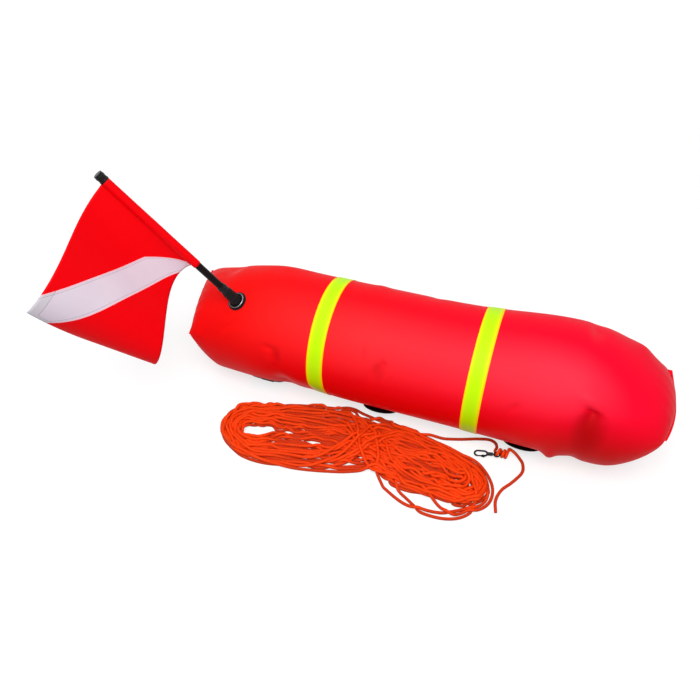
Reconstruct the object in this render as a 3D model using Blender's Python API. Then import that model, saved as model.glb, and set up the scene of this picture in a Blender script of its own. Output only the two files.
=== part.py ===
"""Inflatable float with a dive flag, lying on a flat surface beside its hank of floating line.

Metres, +Z up. The float's long axis runs along X and the flag is at the -X end. The origin is the middle of
the strip that the float rests on, halfway between its two tape bands. The hank lies on the -Y side.
"""

import math

import bmesh
import bpy
from mathutils import Matrix, Vector

# Clearances and small parts of shapes shared by all pieces
GAP = 0.0003
LIFT = 0.0001
OVERRUN = 0.004
TURN = 2 * math.pi

# Inflated tube
FLOAT_LENGTH = 0.873
FLOAT_RADIUS = 0.110
FLOAT_LEFT_SHARE = 0.4825
SKIN_WALL = 0.0010
REST_DENT = 0.0006
BULGE = 0.008
BULGE_PLACE_SHARE = 0.315
BULGE_WIDTH_SHARE = 0.140
FLAP_LENGTH = 0.003
FLAP_THICKNESS = 0.0020
PUCKER_DEPTH = 0.0020
PUCKER_COUNT = 9
AROUND_COUNT = 32
END_RING_COUNT = 8
END_RING_START_SHARE = 0.35
MIDDLE_RING_COUNT = 11

# Each end: how far it tapers and how square its dome is, above, below and at the sides, and where its weld lies.
# The weld's far end stands out as an ear.
LEFT_END = {
    "upper_taper": 0.213,
    "upper_power": 2.2,
    "lower_taper": 0.063,
    "lower_power": 1.95,
    "side_taper": 0.150,
    "side_power": 1.25,
    "seam_half_width": 0.093,
    "seam_ear": 0.0125,
    "seam_skew_share": -0.2875,
    "seam_shift": -0.003,
    "seam_height": 0.1195,
}
RIGHT_END = {
    "upper_taper": 0.158,
    "upper_power": 2.0,
    "lower_taper": 0.098,
    "lower_power": 1.8,
    "side_taper": 0.080,
    "side_power": 1.55,
    "seam_half_width": 0.0575,
    "seam_ear": 0.035,
    "seam_skew_share": 0.10,
    "seam_shift": -0.0163,
    "seam_height": 0.119,
}
EAR_POWER = 6

# Tape bands
BAND_SPACING = 0.280
BAND_WIDTH = 0.030
BAND_THICKNESS = 0.0006

# Anchors under the float: a round patch, a webbing loop and a D-ring each
ANCHOR_PLACE_SHARES = (-0.3010, -0.0344, 0.2680)
ANCHOR_RISE = 0.0140
PATCH_RADIUS = 0.034
PATCH_THICKNESS = 0.0010
# Where each patch leaves the skin and runs on straight, as a share of its anchor's angle
PATCH_FLARE_SHARES = (1.75, 0.87, 0.92)
WEBBING_WIDTH = 0.025
WEBBING_THICKNESS = 0.0012
WEBBING_TAIL = 0.017
RING_WIRE_RADIUS = 0.00175
RING_INNER_WIDTH = 0.026
RING_HEIGHT = 0.0155
RING_FLOOR_GAP = 0.0004

# Flag socket
SOCKET_PLACE_SHARE = -0.3540
SOCKET_ELEVATION = math.radians(57.0)
FLANGE_RADIUS = 0.0185
FLANGE_THICKNESS = 0.0024
CLAMP_RING_RADIUS = 0.0140
CLAMP_RING_WIRE = 0.0013
BOOT_BASE_RADIUS = 0.0102
BOOT_TOP_RADIUS = 0.0090
BOOT_LENGTH = 0.026
BOOT_RIB = 0.0006
SOCKET_DEPTH = 0.018

# Pole, leaning along this direction
POLE_LEAN = (-0.514, -0.257, 0.818)
POLE_RADIUS = 0.0064
POLE_TIP = 0.322
FERRULE_LENGTH = 0.016
FERRULE_RADIUS = 0.0084
FERRULE_RIDGE = 0.0008
CAP_LENGTH = 0.0150
CAP_WALL = 0.0009
CAP_RIDGE = 0.0005

# Flag: hoist along the pole, fly across it
FLAG_HOIST = 0.203
FLAG_FLY = 0.254
FLAG_STRIPE_WIDTH = 0.047
CLOTH_THICKNESS = 0.0008
SLEEVE_WALL = 0.0008
# Degrees below the horizontal, and degrees toward the viewer: at the top of the hoist, then the change along
# the fly, down the hoist, along both, in the wave along the fly, and in that wave down the hoist
FLAG_DROOP_DEGREES = (40, 3, -24, 25, 6, 39)
FLAG_SWING_DEGREES = (16, -25, -51, -29, 69, 62)

# Oral inflation valve, on the hidden side
VALVE_PLACE_SHARE = 0.3476
VALVE_FLANGE_RADIUS = 0.0180
VALVE_FLANGE_THICKNESS = 0.0016
VALVE_BODY_RADIUS = 0.0085
VALVE_BODY_HEIGHT = 0.0110
VALVE_BORE_RADIUS = 0.0050
VALVE_KNOB_RADIUS = 0.0105
VALVE_KNOB_HEIGHT = 0.0080
VALVE_MOUTH_RADIUS = 0.0018
VALVE_DISC_THICKNESS = 0.0010
VALVE_KNOB_RIB = 0.0006

# Floating line: its hank, its two loose stretches and its knot
ROPE_DIAMETER = 0.0055
STRAND_PITCH = 0.0061
LAYER_STEP = 0.0061
LOOPS_PER_LAYER = 12
LOOP_POINTS = 24
HANK_LEFT = -0.297
HANK_RIGHT = 0.208
HANK_EYE_RADIUS = 0.0066
HANK_WAIST = 0.0027
HANK_WAIST_PLACE = -0.010
HANK_WAIST_REACH = 0.080
HANK_LOOSE_SAG = 0.016
HANK_SPINE = ((-0.40, -0.174), (-0.20, -0.172), (-0.10, -0.160), (0.0, -0.165), (0.10, -0.180), (0.30, -0.188))
HANK_END_TURN = 0.14
HANK_EXIT_TURN = 0.275
KNOT_PLACE = (0.1945, -0.0890)
KNOT_RADIUS = 0.0059
KNOT_FIRST_STEP = 0.0106
LEAD_ROUTE = (
    (0.075, -0.0885, 0.0074),
    (0.100, -0.0850, 0.0030),
    (0.128, -0.0765, 0.0028),
    (0.155, -0.0660, 0.0028),
    (0.177, -0.0600, 0.0028),
    (0.1895, -0.0640, 0.0028),
    (0.1940, -0.0740, 0.0028),
)
TAIL_ROUTE = (
    (0.2165, -0.0790, 0.0130),
    (0.2255, -0.0795, 0.0085),
    (0.2360, -0.0855, 0.0036),
    (0.2440, -0.0970, 0.0028),
    (0.2455, -0.1160, 0.0028),
    (0.2330, -0.1420, 0.0028),
    (0.2190, -0.1640, 0.0028),
    (0.2135, -0.1880, 0.0028),
    (0.2180, -0.2120, 0.0028),
)

# Snap hook on the line
EYE_RADIUS = 0.0050
EYE_WIRE = 0.0013
HOOK_LEAN = (-0.985, -0.10, -0.145)
BARREL_RADIUS = 0.0032
BARREL_LENGTH = 0.0060
SWIVEL_STEM_RADIUS = 0.0014
HOOK_LENGTH = 0.0240
HOOK_WIDTH = 0.0150
HOOK_WIRE = 0.0017
GATE_WIRE = 0.0012
GATE_PIN_RADIUS = 0.0007
GATE_LUG = 0.0012
GATE_EAR = 0.0011

RED = (0.93, 0.015, 0.012)
BLACK = (0.012, 0.012, 0.014)
ORANGE = (0.90, 0.055, 0.012)

FLOAT_LEFT = -FLOAT_LEFT_SHARE * FLOAT_LENGTH
FLOAT_RIGHT = FLOAT_LEFT + FLOAT_LENGTH
ROPE_RADIUS = ROPE_DIAMETER / 2


def clear_scene():
    for obj in list(bpy.data.objects):
        bpy.data.objects.remove(obj, do_unlink=True)


def material(name, colour, roughness, metallic=0.0):
    made = bpy.data.materials.new(name)
    made.use_nodes = True
    shader = made.node_tree.nodes["Principled BSDF"]
    shader.inputs["Base Color"].default_value = (*colour, 1.0)
    shader.inputs["Roughness"].default_value = roughness
    shader.inputs["Metallic"].default_value = metallic
    return made


def add_object(name, verts, faces, finish, origin=None, smooth_degrees=40):
    """An object from world points, with its own origin where a joint needs it."""
    base = Vector(origin) if origin is not None else Vector()
    mesh = bpy.data.meshes.new(name)
    mesh.from_pydata([Vector(v) - base for v in verts], [], faces)
    work = bmesh.new()
    work.from_mesh(mesh)
    bmesh.ops.recalc_face_normals(work, faces=work.faces)
    work.to_mesh(mesh)
    work.free()
    mesh.shade_smooth()
    mesh.set_sharp_from_angle(angle=math.radians(smooth_degrees))
    mesh.materials.append(finish)
    made = bpy.data.objects.new(name, mesh)
    made.location = base
    bpy.context.scene.collection.objects.link(made)
    return made


def loft_faces(ring_count, around, closed=False, start=0):
    """Quads between successive rings of points, with flat ends unless the rings close on themselves."""
    faces = []
    for i in range(ring_count if closed else ring_count - 1):
        a, b = start + i * around, start + (i + 1) % ring_count * around
        faces += [(a + j, a + (j + 1) % around, b + (j + 1) % around, b + j) for j in range(around)]
    if not closed:
        faces.append(tuple(range(start + around - 1, start - 1, -1)))
        faces.append(tuple(range(start + (ring_count - 1) * around, start + ring_count * around)))
    return faces


def loft(name, rings, finish, closed=False, origin=None, smooth_degrees=40):
    points = [p for ring in rings for p in ring]
    faces = loft_faces(len(rings), len(rings[0]), closed)
    return add_object(name, points, faces, finish, origin, smooth_degrees)


def combine(base, other, operation):
    """Cut from or join to base, then drop the other object."""
    step = base.modifiers.new(operation.title(), "BOOLEAN")
    step.operation = operation
    step.solver = "EXACT"
    step.object = other
    bpy.context.view_layer.update()
    graph = bpy.context.evaluated_depsgraph_get()
    result = bpy.data.meshes.new_from_object(base.evaluated_get(graph))
    base.modifiers.clear()
    base.data = result
    bpy.data.objects.remove(other, do_unlink=True)
    return base


def frame_along(direction, up=(0, 0, 1)):
    """Two unit vectors square to a direction, the first as near to up as it can be, and the direction."""
    along = Vector(direction).normalized()
    first = Vector(up) - along * Vector(up).dot(along)
    first.normalize()
    return first, along.cross(first), along


def circle(centre, first, second, radius, count, turn=0.0):
    step = TURN / count
    return [
        centre + first * (radius * math.cos(step * k + turn)) + second * (radius * math.sin(step * k + turn))
        for k in range(count)
    ]


def turned(name, profile, base, direction, finish, count=24, closed=False, origin=None, smooth_degrees=40):
    """A shape turned about a line: profile holds (radius, height) pairs from base along direction."""
    first, second, along = frame_along(direction)
    rings = [circle(Vector(base) + along * h, first, second, r, count) for r, h in profile]
    return loft(name, rings, finish, closed, origin, smooth_degrees)


def smooth_route(points, spacing, lowest):
    """A smooth curve through the points, read at even steps and kept above a height."""
    knots = [Vector(p) for p in points]
    knots = [knots[0] * 2 - knots[1], *knots, knots[-1] * 2 - knots[-2]]
    fine = []
    for k in range(1, len(knots) - 2):
        a, b, c, d = knots[k - 1 : k + 3]
        for t in [i / 20 for i in range(20)]:
            spot = 0.5 * (2 * b + (c - a) * t + (2 * a - 5 * b + 4 * c - d) * t * t + (3 * b - a - 3 * c + d) * t**3)
            spot.z = max(spot.z, lowest)
            fine.append(spot)
    fine.append(knots[-2])
    total = sum((q - p).length for p, q in zip(fine, fine[1:]))
    count = max(2, round(total / spacing))
    found, walked, target = [fine[0]], 0.0, total / count
    for p, q in zip(fine, fine[1:]):
        step = (q - p).length
        while walked + step >= target - 1e-9 and len(found) < count:
            found.append(p.lerp(q, (target - walked) / step))
            target += total / count
        walked += step
    return [*found, fine[-1]]


def rope(name, points, finish, sides_level):
    """A round line through the points, as a curve with a bevel and filled ends."""
    curve = bpy.data.curves.new(name, "CURVE")
    curve.dimensions = "3D"
    curve.bevel_depth = ROPE_RADIUS
    curve.bevel_resolution = sides_level
    curve.use_fill_caps = True
    spline = curve.splines.new("POLY")
    spline.points.add(len(points) - 1)
    for target, place in zip(spline.points, points):
        target.co = (*place, 1.0)
    curve.materials.append(finish)
    made = bpy.data.objects.new(name, curve)
    bpy.context.scene.collection.objects.link(made)
    return made


def ease(share):
    share = min(max(share, 0.0), 1.0)
    return share * share * (3 - 2 * share)


def dome(distance, end, part):
    """How full an end is at a distance from its weld: 0 at the weld, 1 past its taper."""
    share = min(max(1 - distance / end[part + "_taper"], 0.0), 1.0)
    power = end[part + "_power"]
    return max(1 - share**power, 0.0) ** (1 / power)


def section(x, inset=0.0):
    """The tube's section at x: its half width, its heights above and below the middle, the middle's place, its
    skew, its ear and its folds. An inset gives the inside."""
    ends = ((LEFT_END, x - FLOAT_LEFT - inset), (RIGHT_END, FLOAT_RIGHT - inset - x))
    bulge = math.exp(-(((x - BULGE_PLACE_SHARE * FLOAT_LENGTH) / (BULGE_WIDTH_SHARE * FLOAT_LENGTH)) ** 2))
    radius = FLOAT_RADIUS - inset + BULGE * bulge
    middle_z = radius + inset - REST_DENT
    wide, above, below, z = radius, radius, radius, middle_z
    shift, skew, ear, fold = 0.0, 0.0, 0.0, 0.0
    for end, distance in ends:
        above *= dome(distance, end, "upper")
        below *= dome(distance, end, "lower")
        near = 1 - dome(distance, end, "side")
        wide += (end["seam_half_width"] - inset - radius) * near
        shift += end["seam_shift"] * near
        skew += end["seam_skew_share"] * near
        ear += end["seam_ear"] * near
        z += (end["seam_height"] - middle_z) * (1 - ease(distance / end["lower_taper"]))
        fold += 4 * near * (1 - near)
    return wide, above, below, shift, z, skew, ear, fold


def skin_point(x, angle, inset=0.0):
    """A point of the tube's skin. Its angle is 0 at +Y, a quarter turn at the top."""
    wide, above, below, shift, z, skew, ear, fold = section(x, inset)
    drawn = 1 - PUCKER_DEPTH / FLOAT_RADIUS * fold * (0.5 + 0.5 * math.cos(PUCKER_COUNT * angle))
    across = wide * drawn * math.cos(angle) + ear * max(math.cos(angle), 0.0) ** EAR_POWER
    rise = (above if math.sin(angle) > 0 else below) * drawn * math.sin(angle)
    return Vector((x + skew * across, shift + across, max(z + rise, inset)))


def skin_frame(x, angle):
    """The skin's point, its direction along X, its direction round the tube and its outward normal."""
    nudge = FLOAT_RADIUS / 1000
    here = skin_point(x, angle)
    along = (skin_point(x + nudge, angle) - skin_point(x - nudge, angle)).normalized()
    around = (skin_point(x, angle + 0.01) - skin_point(x, angle - 0.01)).normalized()
    return here, along, around, around.cross(along).normalized()


def ring_places():
    """The sections of the tube: close together in its domed ends, and at both edges of each tape."""
    shares = [((k + END_RING_START_SHARE) / END_RING_COUNT) ** 2 for k in range(END_RING_COUNT)]
    left = [FLOAT_LEFT + LEFT_END["upper_taper"] * share for share in shares]
    right = [FLOAT_RIGHT - RIGHT_END["upper_taper"] * share for share in shares]
    start, stop = FLOAT_LEFT + LEFT_END["upper_taper"], FLOAT_RIGHT - RIGHT_END["upper_taper"]
    middle = [start + (stop - start) * k / (MIDDLE_RING_COUNT - 1) for k in range(MIDDLE_RING_COUNT)]
    edges = [side * (BAND_SPACING / 2) + edge * (BAND_WIDTH / 2) for side in (-1, 1) for edge in (-1, 1)]
    middle = [x for x in middle if all(abs(x - e) > BAND_WIDTH / 5 for e in edges)]
    return sorted(left + middle + edges + right)


def around_angles(count=AROUND_COUNT):
    """Angles round the tube, with one facet lying flat at the bottom."""
    return [-TURN / 4 + (k + 0.5) * TURN / count for k in range(count)]


def float_skin(finish):
    places = ring_places()
    angles = around_angles()

    def flap_ring(x, reach):
        wide, _, _, shift, z, skew, ear, _ = section(x)
        half = FLAP_THICKNESS / 2
        ring = []
        for a in angles:
            across = wide * math.cos(a) + ear * max(math.cos(a), 0.0) ** EAR_POWER
            ring.append(Vector((x + reach + skew * across, shift + across, z + half * math.sin(a))))
        return ring

    outer = [flap_ring(places[0], -FLAP_LENGTH), flap_ring(places[0], -FLAP_LENGTH / 6)]
    outer += [[skin_point(x, a) for a in angles] for x in places]
    outer += [flap_ring(places[-1], FLAP_LENGTH / 6), flap_ring(places[-1], FLAP_LENGTH)]
    middle = (FLOAT_LEFT + FLOAT_RIGHT) / 2
    shrink = 1 - 2 * SKIN_WALL / FLOAT_LENGTH
    inner = [[skin_point(middle + (x - middle) * shrink, a, SKIN_WALL) for a in angles] for x in places[1:-1]]
    points = [p for ring in outer for p in ring]
    faces = loft_faces(len(outer), len(angles))
    inside = loft_faces(len(inner), len(angles), start=len(points))
    points += [p for ring in inner for p in ring]
    mesh = bpy.data.meshes.new("float_skin")
    mesh.from_pydata(points, [], faces + [tuple(reversed(f)) for f in inside])
    if mesh_volume(mesh) < 0:
        mesh.flip_normals()
    mesh.shade_smooth()
    mesh.set_sharp_from_angle(angle=math.radians(40))
    mesh.materials.append(finish)
    skin = bpy.data.objects.new("float_skin", mesh)
    bpy.context.scene.collection.objects.link(skin)
    place, _, _, normal = skin_frame(VALVE_PLACE_SHARE * FLOAT_LENGTH, 0.0)
    depth = 2 * SKIN_WALL + OVERRUN
    hole = turned(
        "air_hole_cutter",
        [(VALVE_BORE_RADIUS, -depth), (VALVE_BORE_RADIUS, OVERRUN)],
        place,
        normal,
        finish,
        count=12,
    )
    return combine(skin, hole, "DIFFERENCE")


def mesh_volume(mesh):
    work = bmesh.new()
    work.from_mesh(mesh)
    volume = work.calc_volume(signed=True)
    work.free()
    return volume


def tape_band(name, centre, finish):
    """A tape round the tube, open where the float rests."""
    angles = around_angles()[1:-1]
    rings = []
    for x in (centre - BAND_WIDTH / 2, centre + BAND_WIDTH / 2):
        frames = [skin_frame(x, a) for a in angles]
        rings.append([f[0] + f[3] * GAP for f in frames])
        rings.append([f[0] + f[3] * (GAP + BAND_THICKNESS) for f in frames])
    sections = [[rings[0][k], rings[1][k], rings[3][k], rings[2][k]] for k in range(len(angles))]
    return loft(name, sections, finish)


def on_skin(x, angle, point):
    """Bends a flat point, given along X, round the tube and outward, on to the skin at x and angle."""
    turned_by = point[1] / FLOAT_RADIUS
    here, _, _, normal = skin_frame(x + point[0], angle + turned_by)
    return here + normal * point[2]


def bent_disc(name, x, angle, profile, finish, count=24, closed=False, place=on_skin):
    """A turned disc bent on to the skin: profile holds (radius, height) pairs."""
    rings = []
    for radius, height in profile:
        ring = circle(Vector((0, 0, height)), Vector((1, 0, 0)), Vector((0, 1, 0)), radius, count)
        rings.append([place(x, angle, p) for p in ring])
    return loft(name, rings, finish, closed)


def anchor_lean():
    """How far round from the bottom of the tube the anchors sit, at their rise above the surface it rests on."""
    return math.acos(1 - ANCHOR_RISE / FLOAT_RADIUS)


def anchor_angle():
    return -TURN / 4 - anchor_lean()


def on_flare(flare):
    """A placing like on_skin, but past its flare the piece runs on straight, away from the skin."""
    limit = -TURN / 4 - anchor_lean() * flare

    def place(x, angle, point):
        wanted = angle + point[1] / FLOAT_RADIUS
        past = max(limit - wanted, 0.0)
        here, _, around, normal = skin_frame(x + point[0], max(wanted, limit))
        return here - around * (past * FLOAT_RADIUS) + normal * point[2]

    return place


def anchor_patch(name, x, flare, finish):
    low, high = GAP, GAP + PATCH_THICKNESS
    profile = [(PATCH_RADIUS / 4, low), (PATCH_RADIUS * 2 / 3, low), (PATCH_RADIUS, low)]
    profile += [(PATCH_RADIUS, high), (PATCH_RADIUS * 2 / 3, high), (PATCH_RADIUS / 4, high)]
    return bent_disc(name, x, anchor_angle(), profile, finish, place=on_flare(flare))


def bar_height():
    return 2 * GAP + PATCH_THICKNESS + WEBBING_THICKNESS + GAP + RING_WIRE_RADIUS


def anchor_webbing(name, x, flare, finish):
    """Webbing folded round the ring's bar, with its two tails flat on the patch."""
    place = on_flare(flare)
    low = 2 * GAP + PATCH_THICKNESS
    top = low + WEBBING_THICKNESS
    hump = RING_WIRE_RADIUS + GAP + WEBBING_THICKNESS
    reach = bar_height() - low
    outline = [(-WEBBING_TAIL, low), (-hump, low), (0.0, low), (hump, low), (WEBBING_TAIL, low)]
    outline += [(WEBBING_TAIL, top), (hump * 1.35, top)]
    spread = [math.radians(-10 + 200 * k / 10) for k in range(11)]
    outline += [(hump * math.cos(t), low + reach + hump * math.sin(t)) for t in spread]
    outline += [(-hump * 1.35, top), (-WEBBING_TAIL, top)]
    sides = []
    for dx in (-WEBBING_WIDTH / 2, WEBBING_WIDTH / 2):
        sides.append([place(x, anchor_angle(), (dx, s, h)) for s, h in outline])
    strap = loft(name, sides, finish)
    bar = RING_WIRE_RADIUS + GAP
    half = WEBBING_WIDTH / 2 + OVERRUN
    cutter = turned("bar_cutter", [(bar, -half), (bar, half)], ring_bar_place(x, flare), (1, 0, 0), finish, count=12)
    return combine(strap, cutter, "DIFFERENCE")


def ring_bar_place(x, flare):
    return on_flare(flare)(x, anchor_angle(), (0.0, 0.0, bar_height()))


def d_ring(name, x, flare, finish):
    """A D-ring with its bar in the webbing, folded in under the float with its round end just off the surface."""
    place = ring_bar_place(x, flare)
    drop = math.asin((place.z - RING_WIRE_RADIUS - RING_FLOOR_GAP) / RING_HEIGHT)
    outward = Vector((0, math.cos(drop), -math.sin(drop)))
    across = Vector((1, 0, 0))
    half = RING_INNER_WIDTH / 2 + RING_WIRE_RADIUS
    corner = RING_WIRE_RADIUS * 1.5
    path = [(-half + corner, 0.0), (-half / 3, 0.0), (half / 3, 0.0), (half - corner, 0.0)]
    path += [(half - corner * 0.3, corner * 0.3), (half, corner)]
    straight = RING_HEIGHT - half * 0.72
    arc = [math.radians(180 * k / 12) for k in range(13)]
    path += [(half * math.cos(t), straight + half * 0.72 * math.sin(t)) for t in arc]
    path += [(-half, corner), (-half + corner * 0.3, corner * 0.3)]
    points = [place + across * u + outward * v for u, v in path]
    normal = across.cross(outward)
    rings = []
    for k, here in enumerate(points):
        ahead = (points[(k + 1) % len(points)] - points[k - 1]).normalized()
        side = ahead.cross(normal).normalized()
        rings.append(circle(here, side, normal, RING_WIRE_RADIUS, 8, TURN / 16))
    return loft(name, rings, finish, closed=True, origin=place)


def socket_place():
    return skin_frame(SOCKET_PLACE_SHARE * FLOAT_LENGTH, TURN / 2 - SOCKET_ELEVATION)


def pole_point(distance):
    return socket_place()[0] + Vector(POLE_LEAN).normalized() * distance


def socket_flange(finish):
    bottom, top = GAP, GAP + FLANGE_THICKNESS
    edge = FLANGE_THICKNESS / 3
    profile = [(FLANGE_RADIUS / 3, bottom), (FLANGE_RADIUS, bottom), (FLANGE_RADIUS, top - edge)]
    profile += [(FLANGE_RADIUS - edge, top), (FLANGE_RADIUS / 3, top)]
    x = SOCKET_PLACE_SHARE * FLOAT_LENGTH
    return bent_disc("socket_flange", x, TURN / 2 - SOCKET_ELEVATION, profile, finish, count=32)


def clamp_ring(finish):
    seat = 2 * GAP + FLANGE_THICKNESS + CLAMP_RING_WIRE
    arc = [TURN * k / 8 for k in range(8)]
    profile = [
        (CLAMP_RING_RADIUS + CLAMP_RING_WIRE * math.cos(t), seat + CLAMP_RING_WIRE * math.sin(t)) for t in arc
    ]
    x = SOCKET_PLACE_SHARE * FLOAT_LENGTH
    angle = TURN / 2 - SOCKET_ELEVATION
    return bent_disc("socket_clamp_ring", x, angle, profile, finish, count=32, closed=True)


def boot_top():
    """How far up the pole the boot ends."""
    return boot_start() + BOOT_LENGTH


def boot_start():
    _, _, _, normal = socket_place()
    return (2 * GAP + FLANGE_THICKNESS) / normal.dot(Vector(POLE_LEAN).normalized())


def socket_boot(finish):
    """A ribbed rubber neck that bends from square on the skin to square on the leaning pole."""
    place, _, _, normal = socket_place()
    lean = Vector(POLE_LEAN).normalized()
    count, rings = 8, []
    for k in range(count + 1):
        share = k / count
        radius = BOOT_BASE_RADIUS + (BOOT_TOP_RADIUS - BOOT_BASE_RADIUS) * ease(share)
        radius += BOOT_RIB if k in (3, 5, 7) else 0.0
        facing = normal.lerp(lean, ease(share * 1.4)).normalized()
        first, second, _ = frame_along(facing, lean.cross(normal))
        aside = (lean * boot_start() - normal * (2 * GAP + FLANGE_THICKNESS)) * (1 - ease(share * 2))
        centre = place + lean * (boot_start() + BOOT_LENGTH * share) - aside
        rings.append(circle(centre, first, second, radius, 24))
    boot = loft("socket_boot", rings, finish)
    bottom = boot_top() - SOCKET_DEPTH
    bore = POLE_RADIUS + GAP
    cutter = turned("bore_cutter", [(bore, bottom), (bore, boot_top() + OVERRUN)], place, lean, finish)
    return combine(boot, cutter, "DIFFERENCE")


def ferrule_start():
    return boot_top() + GAP


def flag_pole(finish):
    foot = boot_top() - SOCKET_DEPTH + GAP
    top = POLE_TIP - CAP_WALL - GAP
    profile = [(POLE_RADIUS - CAP_WALL, foot), (POLE_RADIUS, foot + CAP_WALL), (POLE_RADIUS, top)]
    return turned("flag_pole", profile, pole_point(0), POLE_LEAN, finish, origin=pole_point(0))


def pole_ferrule(finish):
    """The ridged collar that stops the pole on the boot."""
    inner = POLE_RADIUS + GAP
    start, stop = ferrule_start(), ferrule_start() + FERRULE_LENGTH
    bands = 4
    profile = [(inner, start)]
    for k in range(bands):
        low = start + FERRULE_LENGTH * k / bands
        wide = FERRULE_RADIUS if k % 2 == 0 else FERRULE_RADIUS - FERRULE_RIDGE
        profile += [(wide, low + GAP), (wide, low + FERRULE_LENGTH / bands - GAP)]
    profile.append((inner, stop))
    base = pole_point(0)
    return turned("pole_ferrule", profile, base, POLE_LEAN, finish, closed=True, origin=base, smooth_degrees=30)


def pole_cap(finish):
    """A ridged cap pushed over the pole's end."""
    inner, outer = POLE_RADIUS + GAP, POLE_RADIUS + GAP + CAP_WALL
    start = POLE_TIP - CAP_LENGTH
    roof = POLE_TIP - CAP_WALL
    third = CAP_LENGTH / 6
    profile = [(inner / 3, roof), (inner, roof), (inner, start), (outer + CAP_RIDGE, start)]
    profile += [(outer + CAP_RIDGE, start + third), (outer, start + 1.3 * third), (outer, start + 3 * third)]
    profile += [(outer + CAP_RIDGE, start + 3.3 * third), (outer + CAP_RIDGE, start + 4.3 * third)]
    profile += [(outer, start + 4.6 * third), (outer, POLE_TIP - CAP_RIDGE), (outer - CAP_WALL, POLE_TIP)]
    profile.append((inner / 3, POLE_TIP))
    return turned("pole_cap", profile, pole_point(0), POLE_LEAN, finish, origin=pole_point(0), smooth_degrees=30)


def hoist_top():
    """How far up the pole the flag's sleeve ends."""
    return POLE_TIP - CAP_LENGTH - GAP


def flag_point(down, out):
    """A point of the flag's cloth, down the hoist and out along the fly, in metres of flat cloth."""
    lean = Vector(POLE_LEAN).normalized()
    level = Vector((lean.x, lean.y, 0)).normalized()
    toward = Vector((0, 0, 1)).cross(level)
    s = down / FLAG_HOIST
    steps = 24
    place = pole_point(hoist_top() - down)
    for k in range(steps):
        t = out / FLAG_FLY * (k + 0.5) / steps
        wave = math.sin(math.pi * t)
        terms = (1.0, t, s, s * t, wave, s * wave)
        droop = math.radians(sum(a * b for a, b in zip(FLAG_DROOP_DEGREES, terms)))
        swing = math.radians(sum(a * b for a, b in zip(FLAG_SWING_DEGREES, terms)))
        hang = level * math.cos(droop) - Vector((0, 0, 1)) * math.sin(droop)
        place = place + (hang * math.cos(swing) + toward * math.sin(swing)) * (out / steps)
    return place


def cloth(name, grid, finish, origin):
    """A panel of cloth through a grid of (down, out) places, with its thickness and closed edges."""
    nudge = FLAG_FLY / 500
    front, back = [], []
    for row in grid:
        for down, out in row:
            here = flag_point(down, out)
            one = flag_point(down + nudge, out) - here
            two = flag_point(down, out + nudge) - here
            normal = one.cross(two).normalized()
            front.append(here + normal * (CLOTH_THICKNESS / 2))
            back.append(here - normal * (CLOTH_THICKNESS / 2))
    rows, columns = len(grid), len(grid[0])
    faces = []
    size = rows * columns
    for i in range(rows - 1):
        for j in range(columns - 1):
            a = i * columns + j
            quad = (a, a + 1, a + columns + 1, a + columns)
            faces += [quad, tuple(size + v for v in reversed(quad))]
    edge = [j for j in range(columns)] + [i * columns + columns - 1 for i in range(1, rows)]
    edge += [(rows - 1) * columns + j for j in range(columns - 2, -1, -1)]
    edge += [i * columns for i in range(rows - 2, 0, -1)]
    faces += [(a, size + a, size + b, b) for a, b in zip(edge, edge[1:] + edge[:1])]
    return add_object(name, front + back, faces, finish, origin)


def sleeve_radius():
    return POLE_RADIUS + GAP + SLEEVE_WALL / 2


def flag_pieces(red, white):
    """Two red panels with a white stripe between them, from the foot of the hoist to the top of the fly."""
    diagonal = math.hypot(FLAG_HOIST, FLAG_FLY)
    hinge = pole_point(0)
    start = sleeve_radius()
    cut = FLAG_STRIPE_WIDTH / 2 + GAP / 2
    rows, columns = 10, 14
    low = FLAG_HOIST - (cut * diagonal + start * FLAG_HOIST) / FLAG_FLY - FLAG_HOIST / 60
    grid = []
    for i in range(rows + 1):
        down = low * i / rows
        reach = (FLAG_HOIST - down) * FLAG_FLY / FLAG_HOIST - cut * diagonal / FLAG_HOIST
        grid.append([(down, start + (reach - start) * j / columns) for j in range(columns + 1)])
    upper = cloth("flag_upper_panel", grid, red, hinge)
    inner, outer = POLE_RADIUS + GAP, POLE_RADIUS + GAP + SLEEVE_WALL
    bottom, top = hoist_top() - FLAG_HOIST, hoist_top()
    tube = [(inner, bottom), (outer, bottom), (outer, top), (inner, top)]
    sleeve = turned("sleeve", tube, pole_point(0), POLE_LEAN, red, count=20, closed=True)
    upper = combine(upper, sleeve, "UNION")

    start = POLE_RADIUS + GAP + SLEEVE_WALL + GAP
    grid = []
    for i in range(7):
        off = (FLAG_STRIPE_WIDTH / 2 - GAP / 2) * (i / 3 - 1) * diagonal
        down = min(FLAG_HOIST + (off - start * FLAG_HOIST) / FLAG_FLY, FLAG_HOIST)
        first = (down, start if down < FLAG_HOIST else max(off / FLAG_HOIST, start))
        out = min(FLAG_FLY + off / FLAG_HOIST, FLAG_FLY)
        last = (0.0 if out < FLAG_FLY else max(off / FLAG_FLY, 0.0), out)
        grid.append(
            [(first[0] + (last[0] - first[0]) * j / 18, first[1] + (last[1] - first[1]) * j / 18) for j in range(19)]
        )
    stripe = cloth("flag_stripe", grid, white, hinge)

    high = cut * diagonal / FLAG_FLY + FLAG_HOIST / 60
    grid = []
    for i in range(rows + 1):
        down = high + (FLAG_HOIST - high) * i / rows
        near = (FLAG_HOIST - down) * FLAG_FLY / FLAG_HOIST + cut * diagonal / FLAG_HOIST
        grid.append([(down, near + (FLAG_FLY - near) * j / columns) for j in range(columns + 1)])
    lower = cloth("flag_lower_panel", grid, red, hinge)
    return upper, stripe, lower


def valve_frame():
    return skin_frame(VALVE_PLACE_SHARE * FLOAT_LENGTH, 0.0)


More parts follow.
